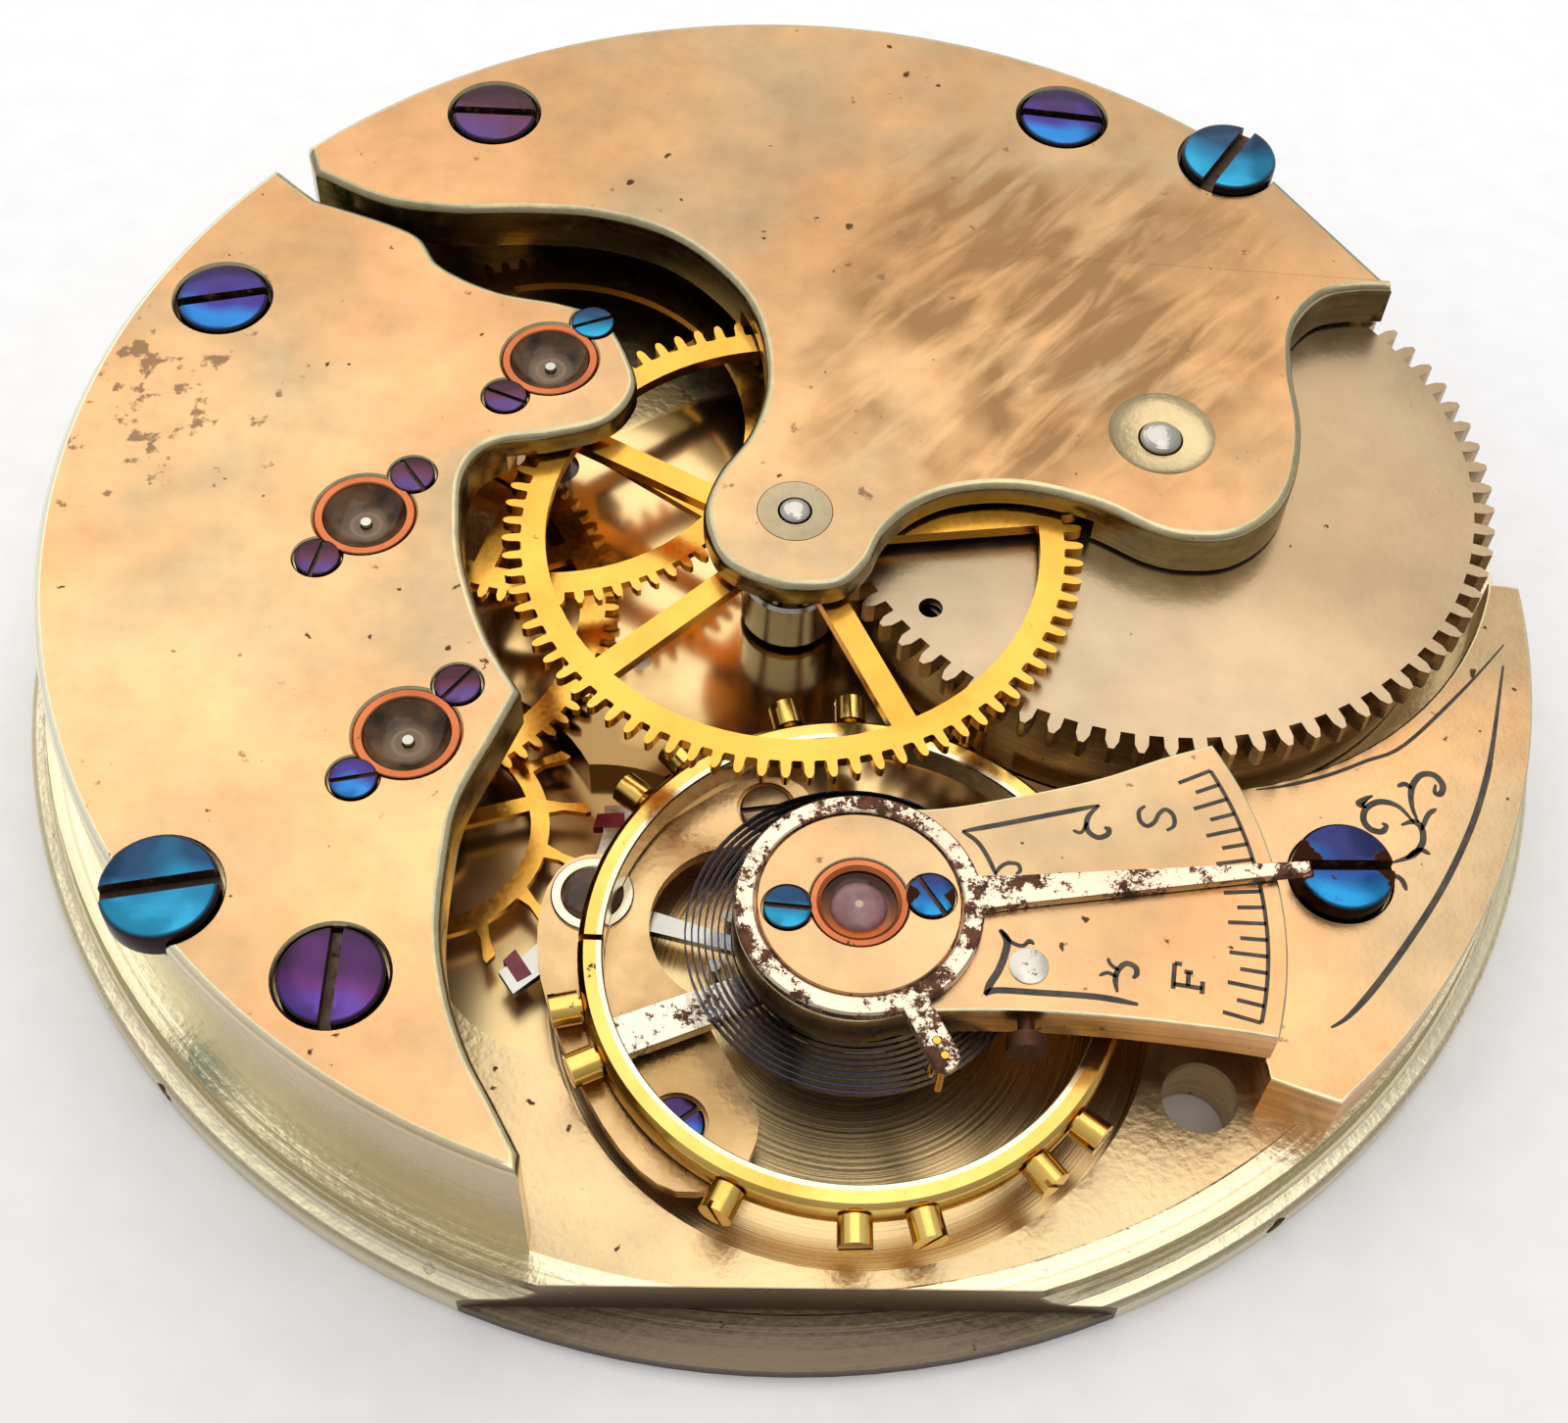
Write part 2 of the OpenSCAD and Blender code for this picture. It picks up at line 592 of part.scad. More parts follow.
module balance_cock() {
    color(nickel) difference() {
        union() {
            translate([0, 0, plate_top]) linear_extrude(foot_top - plate_top) foot_shape();
            translate([0, 0, cock_under]) linear_extrude(cock_t) table_shape();
            translate([0, 0, plate_top]) linear_extrude(table_top - plate_top)
                intersection() {
                    table_shape();
                    foot_shape();
                }
            disc(boss_r, boss_top - table_top, table_top, balance_at);
        }
        screw_hole(cock_screw_at, foot_top + cock_screw_up, cock_screw_r + 0.04, cock_head_t, shank_r, 5);
        disc(low_jewel_r, 5, cock_jewel_z, balance_at);
        disc(low_jewel_r * 0.6, 5, cock_under - 1, balance_at);
        disc(cap_r, 3, boss_top - 0.33, balance_at);
        for (at = cap_screw_at) screw_hole(at, boss_top + 0.05, small_screw_r, 0.17, 0.22, 0.5);
        disc(stud_r, 3, cock_under - 1, stud_at);
        stud_screw_axis() disc(0.18, 3);
    }
}
cock_screw_r = case_screw_r - 0.12;
cock_screw_up = 0.5;
cock_head_t = 0.9;
cap_r = 1.04;
cap_screw_at = [for (s = [0, 180]) balance_at + polar(cap_screw_dist, pointer_angle + s)];
cock_jewel_z = boss_top - 0.33 - jewel_t;

// The stud screw goes in from the cock's side and bears on the stud
module stud_screw_axis() {
    translate([stud_at[0], stud_at[1] - stud_r, cock_under + cock_t / 2]) rotate([90, 0, 0])
        children();
}

module pallet_bridge() {
    outline = smooth([[-3.4, -7.35], [-2.2, -6.3], [-0.9, -5.3], [0.3, -5.1], [0.9, -5.9],
        [0.3, -7.2], [-0.6, -8.4], [-1.6, -10.4], [-1.2, -11.3], [-0.4, -12.6], [0.1, -13.6],
        [-0.3, -14.8], [-1.5, -15.2], [-2.7, -14.4], [-3.9, -12.6], [-4.8, -10.6], [-5, -8.8],
        [-4.5, -7.6], [-3.4, -7.35]], 3);
    color(nickel) difference() {
        union() {
            translate([0, 0, cover_z]) linear_extrude(cover_t) polygon(outline);
            for (at = pallet_screw_at)
                disc(pallet_screw_r + 0.3, cover_z - recess_floor + eps, recess_floor, at);
        }
        disc(2, 3, 1, pallet_at + [3.3, -0.5]);
        disc(roller_r + 0.25, 3, 1, balance_at);
        disc(0.75, 1, cover_z + cover_t - 0.12, pallet_at);
        disc(low_jewel_r, 3, cover_z, pallet_at);
        for (at = pallet_screw_at)
            screw_hole(at, cover_z + cover_t + 0.02, pallet_screw_r + 0.02, pallet_head_t + 0.02,
                pallet_shank_r, 2);
    }
}
cover_z = fork_z + fork_t + 0.13;
cover_t = 0.32;
pallet_screw_r = 0.6;
pallet_head_t = 0.18;
pallet_shank_r = 0.3;

module pallet_jewel() {
    color(ruby) ring(low_jewel_r, pivot_r + jewel_gap, cover_t - 0.14, cover_z, pallet_at);
}

module pallet_bridge_screws() {
    color(blued) for (at = pallet_screw_at)
        screw(at, cover_z + cover_t, pallet_screw_r, pallet_head_t, pallet_shank_r, 1.3, 40);
}

module bridge_screws() {
    turns = [20, 92, 48, 38];
    color(blued) for (i = [0:len(bridge_screw_at) - 1])
        screw(bridge_screw_at[i], bridge_top + 0.05, bridge_screw_r, head_t, shank_r, 4.2, turns[i]);
}

module case_screws() {
    turns = [14, 60];
    color(blued) for (i = [0:len(case_screw_at) - 1])
        screw(case_screw_at[i], bridge_top + case_screw_up, case_screw_r, head_t, case_shank_r, 4.1,
            turns[i]);
}

module cock_screw() {
    color(blued) screw(cock_screw_at, foot_top + cock_screw_up, cock_screw_r, cock_head_t,
        shank_r, 1.9, 8);
}

module dial_foot_screws() {
    color(steel) for (at = dial_foot_at) rotate(heading(at))
        translate([norm(at) + dial_foot_r + 0.05, 0, foot_screw_z]) rotate([0, 90, 0]) difference() {
            disc(foot_screw_r, flange_r - norm(at) - dial_foot_r - 0.35);
            translate([-1, -0.06, flange_r - norm(at) - dial_foot_r - 0.55]) cube([2, 0.12, 1]);
        }
}

module train_jewel_settings() {
    color(copper) for (at = [third_at, fourth_at, escape_at])
        ring(setting_r, jewel_r, 0.24, setting_z, at);
}

module train_jewels() {
    color(ruby) for (at = [third_at, fourth_at, escape_at]) place(at) difference() {
        disc(jewel_r, jewel_t, setting_z);
        disc(pivot_r + jewel_gap, 3, setting_z - 1);
        place([0, 0], setting_z + jewel_t + oil_sink_r * 0.85) sphere(r = oil_sink_r);
    }
}

module setting_screws() {
    color(blued) for (at = concat(third_screw_at, fourth_screw_at, escape_screw_at))
        screw(at, bridge_top + 0.02, small_screw_r, 0.2, 0.22, 0.4, heading(at) + 60);
}

module plate_jewels() {
    color(ruby) {
        ring(low_jewel_r, pivot_r + jewel_gap, jewel_t, plate_jewel_z, third_at);
        ring(low_jewel_r, arbor_r * 0.7 + jewel_gap, jewel_t, plate_jewel_z, fourth_at);
        for (at = [escape_at, pallet_at])
            ring(low_jewel_r, pivot_r + jewel_gap, jewel_t, low_jewel_z, at);
    }
}

module balance_hole_jewels() {
    color(ruby) {
        ring(low_jewel_r, pivot_r + jewel_gap, jewel_t, low_jewel_z, balance_at);
        ring(low_jewel_r, pivot_r + jewel_gap, jewel_t, cock_jewel_z, balance_at);
    }
}

module cap_setting() {
    color(copper) ring(cap_r, cap_jewel_r, 0.2, boss_top - 0.33, balance_at);
}
cap_jewel_r = 0.64;

module cap_jewels() {
    color(ruby) {
        disc(cap_jewel_r, 0.16, boss_top - 0.33, balance_at);
        disc(low_jewel_r, jewel_t, low_jewel_z - jewel_t, balance_at);
    }
}

module cap_screws() {
    color(blued) for (at = cap_screw_at)
        screw(at, boss_top + 0.06, small_screw_r, 0.17, 0.22, 0.45, 70);
}

module hairspring_stud() {
    color(steel) disc(stud_r, table_top + 0.02 - hair_z, hair_z, stud_at);
}

module stud_screw() {
    color(steel) stud_screw_axis() {
        disc(0.18, 1.05);
        disc(0.42, 0.35, 1.2);
        disc(0.18, 0.2, 1.02);
    }
}

module banking_pins() {
    color(steel) for (at = banking_at) disc(banking_r, fork_z + fork_t + 0.02 - 0.4, 0.4, at);
}

module regulator() {
    color(steel) place(balance_at, regulator_z) difference() {
        linear_extrude(regulator_t) union() {
            circle(r = regulator_r);
            rotate(pointer_angle) polygon([[2.3, -0.42], [3.4, -0.34], [pointer_l, -0.14],
                [pointer_l, 0.14], [3.4, 0.34], [2.3, 0.42]]);
            rotate(tail_angle) {
                translate([2.3, -0.3]) square([tail_l - 2.3, 0.6]);
                translate([tail_l, 0]) circle(r = 0.3);
            }
        }
        translate([0, 0, -1]) cylinder(r = boss_r + run_gap, h = 3);
        for (r = curb_r) rotate(tail_angle) translate([r, 0, -1]) cylinder(r = curb_pin_r, h = 3);
    }
}
curb_pin_r = 0.08;
curb_r = [for (s = [-1, 1]) hair_r + s * (hair_t / 2 + 0.065 + curb_pin_r)];
tail_l = hair_r + 0.2;

module curb_pins() {
    color(brass) for (r = curb_r)
        disc(curb_pin_r, regulator_z + regulator_t - hair_z - 0.02, hair_z + 0.02,
            balance_at + polar(r, tail_angle));
}

module barrel() {
    place(barrel_at) color(steel) difference() {
        union() {
            disc(drum_r, barrel_z - drum_bottom + eps, drum_bottom);
            gear(barrel_teeth, barrel_m, wheel_tooth, barrel_angle, barrel_z, barrel_band);
        }
        disc(drum_r - drum_wall, 5, drum_bottom + drum_wall);
        disc(cover_r, 5, barrel_top - cover_h);
        disc(bearing_r + run_gap, 9, 0);
    }
}
drum_bottom = well_floor + end_gap;
cover_r = drum_r - 0.15;
cover_h = 0.24;
pry_hole_r = 0.28;
pry_hole_angle = 221;

module barrel_cover() {
    color(steel) place(barrel_at) difference() {
        disc(cover_r, cover_h, barrel_top - cover_h);
        disc(bearing_r + run_gap, 3, barrel_top - 1);
        disc(pry_hole_r, 3, barrel_top - 1, polar(cover_r - 0.45, pry_hole_angle));
    }
}

// A spiral strip, wound from the arbor's core to the drum
function spiral(from, to, turns, steps, off) = [for (i = [0:turns * steps])
    polar(from + (to - from) * i / (turns * steps) + off, i * 360 / steps)];
module mainspring() {
    from = core_r + 0.15 + mainspring_t / 2;
    to = drum_r - drum_wall - 0.1 - mainspring_t / 2;
    outer = spiral(from, to, mainspring_turns, 20, mainspring_t / 2);
    inner = spiral(from, to, mainspring_turns, 20, -mainspring_t / 2);
    z = drum_bottom + drum_wall + 0.08;
    color(steel) place(barrel_at, z) linear_extrude(barrel_top - cover_h - 0.08 - z)
        polygon(concat(outer, [for (i = [len(inner) - 1:-1:0]) inner[i]]));
}

module barrel_arbor() {
    core_z = drum_bottom + drum_wall + 0.05;
    color(steel) place(barrel_at) {
        translate([-arbor_square / 2, -arbor_square / 2, 0.05])
            cube([arbor_square, arbor_square, winding_z + winding_t - 0.05]);
        disc(bearing_r, core_z - winding_z - winding_t, winding_z + winding_t);
        disc(core_r, barrel_top - cover_h - 0.05 - core_z, core_z);
        disc(bearing_r, cover_h + 0.1, barrel_top - cover_h - 0.05);
        disc(arbor_top_r, bridge_top - 0.18 - barrel_top - 0.05, barrel_top + 0.05);
        place([0, 0], bridge_top - 0.18) rotate_extrude() polygon(concat([[0, 0]],
            [for (a = [0:15:90]) [arbor_top_r * cos(a), 0.2 * sin(a)]]));
    }
}

module ratchet_wheel() {
    color(steel) place(barrel_at) difference() {
        gear(ratchet_teeth, winding_m, winding_tooth, heading(crown_at - barrel_at), winding_z, winding_t);
        translate([-arbor_square / 2, -arbor_square / 2, -1]) cube([arbor_square, arbor_square, 3]);
    }
}

module crown_wheel() {
    pitch = 360 / contrate_teeth;
    color(steel) place(crown_at) difference() {
        union() {
            gear(crown_teeth, winding_m, winding_tooth, gap_to(crown_teeth, heading(barrel_at - crown_at)),
                winding_z, winding_t);
            for (i = [0:contrate_teeth - 1]) rotate(90 + (i + 0.5) * pitch)
                translate([contrate_r - 0.3, 0, winding_z + winding_t - eps])
                    rotate([90, 0, 90]) linear_extrude(0.6)
                        polygon([[-0.17, 0], [0.17, 0], [0.08, contrate_h], [-0.08, contrate_h]]);
        }
        disc(1, 5, -1);
    }
}
contrate_h = contrate_top - winding_z - winding_t;

module crown_core() {
    color(steel) disc(1 - run_gap, contrate_top + end_gap - 0.04, 0.04, crown_at);
}

// The stem passes through the square hole and turns the pinion in its bearing
module winding_pinion() {
    color(steel) translate([0, pinion_y, stem_z]) rotate([-90, 0, 0]) difference() {
        union() {
            linear_extrude(pinion_w) polygon([for (i = [0:stem_leaves - 1])
                for (p = [[stem_pinion_r - 0.42, -0.5], [stem_pinion_r, -0.2], [stem_pinion_r, 0.2],
                    [stem_pinion_r - 0.42, 0.5]]) polar(p[0], 90 + (i + p[1] / 2) * 360 / stem_leaves)]);
            disc(stem_r, bridge_r - 0.05 - pinion_y);
        }
        translate([-stem_square / 2, -stem_square / 2, -1]) cube([stem_square, stem_square, 9]);
    }
}

module centre_wheel() {
    color(brass) wheel(centre_at, centre_teeth, centre_m, third_angle, centre_z, centre_t,
        0.85, 5, 10, 0.62, 1.25, 0.62);
}

module centre_pinion() {
    color(steel) {
        disc(centre_arbor_r, barrel_z - 0.1, 0.1);
        gear(centre_leaves, barrel_m, pinion_tooth, gap_to(centre_leaves, barrel_angle),
            barrel_z - 0.15, centre_z - barrel_z + 0.15);
        disc(0.62, centre_t + 0.08, centre_z - eps);
        disc(centre_pivot_r, bridge_top - 0.02 - centre_z - centre_t, centre_z + centre_t);
        place(centre_at, bridge_top - 0.02) rotate_extrude() polygon(concat([[0, 0]],
            [for (a = [0:15:90]) [centre_pivot_r * cos(a), 0.16 * sin(a)]]));
    }
}

module third_wheel() {
    color(brass) wheel(third_at, third_teeth, third_m, fourth_angle, third_z, wheel_t,
        0.6, 5, 40, 0.5, 0.95, 0.5);
}

module third_pinion() {
    color(steel) pinion(third_at, third_leaves, centre_m, gap_to(third_leaves, third_angle + 180),
        centre_z - 0.25, centre_t + 0.35, plate_jewel_z - 0.05, pivot_top, plate_top + 0.05,
        thin_under - 0.05, third_z, 0.5);
}

module fourth_wheel() {
    color(brass) wheel(fourth_at, fourth_teeth, fourth_m, escape_angle, fourth_z, wheel_t,
        0.6, 5, 25, 0.5, 0.95, 0.5);
}

module fourth_pinion() {
    color(steel) {
        pinion(fourth_at, fourth_leaves, third_m, gap_to(fourth_leaves, fourth_angle + 180),
            third_z - 0.25, wheel_t + 0.5, plate_top, pivot_top, plate_top + 0.05,
            thin_under - 0.05, fourth_z, 0.5);
        disc(arbor_r * 0.7, plate_top, 0.05, fourth_at);
    }
}

// Club teeth lean forward; the wheel turns clockwise seen from above
module escape_wheel() {
    pitch = 360 / escape_teeth;
    rim = escape_r - 0.95;
    color(brass) place(escape_at) difference() {
        translate([0, 0, fork_z]) linear_extrude(escape_t) difference() {
            union() {
                circle(r = rim);
                for (i = [0:escape_teeth - 1]) rotate(pallet_angle + escape_phase + (i + 0.5) * pitch)
                    polygon([polar(rim - 0.1, -0.5), polar(rim + 0.35, 0), polar(escape_r - 0.12, -2.4),
                        polar(escape_r, -2), polar(escape_r - 0.1, 1.8), polar(rim + 0.4, 3.2),
                        polar(rim - 0.1, 7.5)]);
            }
            difference() {
                circle(r = rim - 0.42);
                circle(r = 0.85);
                for (i = [0:3]) rotate(i * 90 + 20) translate([0, -0.19]) square([rim, 0.38]);
            }
        }
        disc(0.42, 3, 0);
    }
}

module escape_pinion() {
    color(steel) place(escape_at) {
        disc(pivot_r, 0.25, low_jewel_z);
        disc(arbor_r - 0.06, thin_under - 0.05 - recess_floor, recess_floor);
        disc(pivot_r, pivot_top - thin_under + 0.05, thin_under - 0.05);
        disc(pivot_r, recess_floor - low_jewel_z, low_jewel_z);
        disc(0.42, escape_t + 0.12, fork_z - 0.04);
        gear(escape_leaves, fourth_m, pinion_tooth, gap_to(escape_leaves, escape_angle + 180),
            fork_z + escape_t + 0.08, fourth_z + wheel_t - fork_z - escape_t + 0.05);
    }
}

// The fork lies along the line to the balance; its two arms carry the stones
module pallet_fork() {
    color(steel) place(pallet_at, fork_z) difference() {
        union() {
            linear_extrude(fork_t) union() {
                circle(r = 0.5);
                rotate(balance_angle) polygon([[0, -0.3], [notch_dist - 0.7, -0.17],
                    [notch_dist - 0.4, -0.42], [notch_dist + 0.28, -0.44], [notch_dist + 0.28, 0.44],
                    [notch_dist - 0.4, 0.42], [notch_dist - 0.7, 0.17], [0, 0.3]]);
                for (s = [-1, 1]) rotate(stone_turn(s)) pallet_arm(s);
            }
            rotate(balance_angle) translate([guard_dist, 0, 0])
                cylinder(r = guard_r, h = roller_z + roller_t - fork_z + 0.05);
        }
        rotate(balance_angle) translate([notch_dist - 0.27, -roller_jewel_r - 0.04, -1])
            cube([2, 2 * roller_jewel_r + 0.08, 3]);
        translate([0, 0, -1]) cylinder(r = 0.3, h = 3);
        for (s = [-1, 1]) rotate(stone_turn(s)) translate([0, 0, -1]) linear_extrude(3) stone_shape(s);
    }
}
guard_r = 0.1;
guard_dist = balance_dist - roller_r - guard_r - 0.12;
function stone_turn(s) = heading(escape_at + polar(escape_r, pallet_angle + s * 30) - pallet_at);
// Points given as the distance along the arm and the distance away from the escape wheel
function away(s, points) = let (flipped = [for (p = points) [p[0], -s * p[1]]])
    s > 0 ? [for (i = [len(flipped) - 1:-1:0]) flipped[i]] : flipped;

module pallet_arm(s) {
    polygon(away(s, [[0, -0.2], [0.6, -0.15], [1.5, 0.16], [stone_dist - 0.3, 0.26],
        [stone_dist + 0.4, 0.31], [stone_dist + 0.4, 0.95], [1.5, 0.8], [0.3, 0.4]]));
}

module stone_shape(s) {
    polygon(away(s, [[stone_dist - stone_w / 2, stone_tip], [stone_dist + stone_w / 2, stone_tip + 0.1],
        [stone_dist + stone_w / 2, 0.75], [stone_dist - stone_w / 2, 0.75]]));
}

module pallet_stones() {
    color(ruby) for (s = [-1, 1]) place(pallet_at, fork_z - 0.02) rotate(stone_turn(s))
        linear_extrude(fork_t + 0.04) stone_shape(s);
}

module pallet_staff() {
    color(steel) place(pallet_at) {
        disc(pivot_r, recess_floor - low_jewel_z, low_jewel_z);
        disc(0.3, cover_z - 0.04 - recess_floor, recess_floor);
        disc(pivot_r, cover_t - 0.1, cover_z - 0.04);
    }
}

// The steel arm and the inner layer of the cut rim
module balance_wheel() {
    color(steel) place(balance_at) difference() {
        union() {
            ring(rim_in + steel_t, rim_in, rim_h, rim_top - rim_h, [0, 0]);
            translate([0, 0, arm_z]) linear_extrude(arm_t) union() {
                circle(r = hub_r);
                rotate(arm_angle) polygon([[-rim_in - 0.1, -0.36], [0, -arm_w / 2], [rim_in + 0.1, -0.36],
                    [rim_in + 0.1, 0.36], [0, arm_w / 2], [-rim_in - 0.1, 0.36]]);
            }
        }
        rim_cuts();
        disc(staff_seat_r, 3, arm_z - 1);
    }
}
staff_seat_r = 0.42;
module rim_cuts() {
    for (s = [0, 180]) rotate(s + 1.7) translate([rim_in - 0.2, -0.07, 0]) cube([2, 0.14, 9]);
}

module balance_rim() {
    color(brass) place(balance_at) difference() {
        ring(rim_r, rim_in + steel_t, rim_h, rim_top - rim_h, [0, 0]);
        rim_cuts();
        for (a = rim_screw_angles) rotate(a) translate([rim_in, 0, rim_top - rim_h / 2])
            rotate([0, 90, 0]) cylinder(r = 0.2, h = 3);
    }
}
rim_screw_angles = [for (s = [0, 180]) for (a = [-164, -151.4, -112.7, -87.4, -74, -48.9, -36.3]) a + s];

module balance_screws() {
    color(brass) place(balance_at) for (a = rim_screw_angles) rotate(a)
        translate([rim_in + steel_t + 0.05, 0, rim_top - rim_h / 2]) rotate([0, 90, 0]) difference() {
            union() {
                disc(0.2, brass_t + 0.1 - 0.05);
                disc(rim_screw_r, rim_screw_out - 0.06, brass_t + 0.01);
            }
            rotate(a * 3) translate([-1, -0.05, brass_t + rim_screw_out - 0.2]) cube([2, 0.1, 1]);
        }
}

module balance_staff() {
    color(steel) place(balance_at) {
        disc(pivot_r, recess_floor - low_jewel_z + 0.1, low_jewel_z + 0.02);
        disc(0.3, arm_z - recess_floor - 0.1, recess_floor + 0.1);
        disc(staff_seat_r, arm_t + 0.1, arm_z);
        disc(0.3, cock_under - 0.1 - arm_z, arm_z);
        disc(pivot_r, cock_jewel_z + jewel_t - 0.02 - cock_under + 0.1, cock_under - 0.1);
    }
}

jewel_heading = balance_angle + 180 + balance_phase;
module roller_table() {
    color(steel) place(balance_at, roller_z) rotate(jewel_heading) difference() {
        cylinder(r = roller_r, h = roller_t);
        translate([0, 0, -1]) cylinder(r = 0.3, h = 3);
        translate([jewel_circle, 0, -1]) cylinder(r = roller_jewel_r, h = 3);
        translate([roller_r + 0.12, 0, -1]) cylinder(r = 0.42, h = 3);
    }
}

module roller_jewel() {
    depth = fork_z + fork_t - 0.12;
    color(ruby) place(balance_at, depth) rotate(jewel_heading) translate([jewel_circle, 0, 0])
        difference() {
            cylinder(r = roller_jewel_r, h = roller_z + roller_t - depth);
            translate([roller_jewel_r * 0.3, -1, -1]) cube([1, 2, roller_z + 1 - depth]);
        }
}

// The hairspring: an even spiral that ends in a round outer coil, as one closed tube
hair_in = 0.72;
hair_end = -17.5 - 3.6;
hair_round = 66;
hair_steps = 24;
hair_sides = 6;
function hair_radius(turned) = turned < hair_round ? hair_r
    : hair_r - (hair_r - hair_in) * (turned - hair_round) / (360 * hair_turns - hair_round);
function hair_ring(i) = let (turned = i * 360 / hair_steps, r = hair_radius(turned))
    [for (k = [0:hair_sides - 1]) let (s = (k + 0.5) * 360 / hair_sides,
        across = r + hair_t / 2 * cos(s) / cos(30)) [across * cos(hair_end - turned),
        across * sin(hair_end - turned), hair_h / 2 * sin(s)]];
hair_rings = [for (i = [0:hair_turns * hair_steps]) hair_ring(i)];
hair_gap = min([for (i = [0:(hair_turns - 1) * hair_steps])
    hair_radius(i * 360 / hair_steps) - hair_radius((i + hair_steps) * 360 / hair_steps)]) - hair_t;
echo(least_gap_between_coils = hair_gap);
module hairspring() {
    last = len(hair_rings) - 1;
    points = [for (r = hair_rings) for (p = r) p];
    walls = [for (i = [0:last - 1]) for (k = [0:hair_sides - 1])
        let (a = i * hair_sides + k, b = i * hair_sides + (k + 1) % hair_sides,
            c = b + hair_sides, d = a + hair_sides) for (f = [[a, b, c], [a, c, d]]) f];
    ends = [for (k = [1:hair_sides - 2]) for (f = [[0, k + 1, k],
        [last * hair_sides, last * hair_sides + k, last * hair_sides + k + 1]]) f];
    color(blued) place(balance_at, hair_z + hair_h / 2) polyhedron(points, concat(walls, ends));
}

module hairspring_collet() {
    color(brass) ring(hair_in - hair_t / 2 - 0.06, 0.3, hair_h + 0.2, hair_z - 0.1, balance_at);
}

module cannon_pinion() {
    color(steel) difference() {
        union() {
            gear(cannon_leaves, cannon_m, pinion_tooth, gap_to(cannon_leaves, minute_angle),
                minute_z - 0.05, motion_t + 0.1);
            disc(root_r(cannon_leaves, cannon_m, pinion_tooth), minute_z + motion_t - 0.02, 0.02);
        }
        disc(centre_arbor_r + run_gap / 2, 3, -1);
    }
}

module minute_wheel() {
    color(brass) place(minute_at) difference() {
        union() {
            gear(minute_teeth, cannon_m, wheel_tooth, minute_angle + 180, minute_z, motion_t);
            gear(minute_leaves, hour_m, pinion_tooth, gap_to(minute_leaves, minute_angle + 180),
                hour_z - 0.03, minute_z - hour_z + 0.04);
        }
        disc(stud_pin_r + run_gap, 3, -1);
    }
}

module hour_wheel() {
    color(brass) difference() {
        gear(hour_teeth, hour_m, wheel_tooth, minute_angle, hour_z, motion_t);
        disc(root_r(cannon_leaves, cannon_m, pinion_tooth) + run_gap, 3, -1);
    }
}

module minute_stud() {
    color(steel) disc(stud_pin_r, plate_top - 0.1, 0.04, minute_at);
}

// The click's beak rests in a gap of the ratchet wheel
click_gap = heading(crown_at - barrel_at) + 16.5 * 360 / ratchet_teeth;
beak_at = barrel_at + polar(ratchet_tip - 0.12, click_gap);
beak_angle = heading(beak_at - click_at);
beak_l = norm(beak_at - click_at);
module click() {
    color(steel) place(click_at, winding_z) rotate(beak_angle) difference() {
        linear_extrude(winding_t) union() {
            circle(r = 0.75);
            polygon([[0, -0.72], [1.1, -0.4], [1.8, 0], [beak_l - 0.12, 0.13], [beak_l, 0],
                [beak_l + 0.05, 0.22], [beak_l - 0.2, 0.5], [0, 0.72]]);
        }
        translate([0, 0, -1]) cylinder(r = stud_pin_r + run_gap, h = 3);
    }
}

module click_stud() {
    color(steel) disc(stud_pin_r, 0.85 - 0.04, 0.04, click_at);
}

// The spring bears on the beak's back from a foot behind the click
module click_spring() {
    color(steel) place(click_at, winding_z) rotate(beak_angle) {
        linear_extrude(winding_t - 0.1) polygon([[-1.3, 1.1], [0.3, 1], [beak_l - 0.45, 0.62],
            [beak_l - 0.4, 0.72], [0.35, 1.12], [-1.3, 1.35]]);
        translate([-1.3, 1.25, 0]) cylinder(r = 0.4, h = recess_depth - winding_z);
    }
}

pillar_plate();
barrel_bridge();
train_bridge();
balance_cock();
pallet_bridge();
bridge_screws();
case_screws();
cock_screw();
pallet_bridge_screws();
dial_foot_screws();
train_jewel_settings();
train_jewels();
setting_screws();
centre_bush();
plate_jewels();
pallet_jewel();
balance_hole_jewels();
cap_setting();
cap_jewels();
cap_screws();
hairspring_stud();
stud_screw();
banking_pins();
regulator();
curb_pins();
barrel();
barrel_cover();
mainspring();
barrel_arbor();
ratchet_wheel();
centre_wheel();
centre_pinion();
third_wheel();
third_pinion();
fourth_wheel();
fourth_pinion();
escape_wheel();
escape_pinion();
pallet_fork();
pallet_stones();
pallet_staff();
balance_wheel();
balance_rim();
balance_screws();
balance_staff();
roller_table();
roller_jewel();
hairspring();
hairspring_collet();
cannon_pinion();
minute_wheel();
hour_wheel();
crown_wheel();
winding_pinion();
click();
click_spring();
click_stud();
minute_stud();
crown_core();
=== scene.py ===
"""A pocket watch movement, dressed piece by piece in the order a watchmaker puts it together."""
import math

import bmesh
import bpy
from mathutils import Matrix, Vector


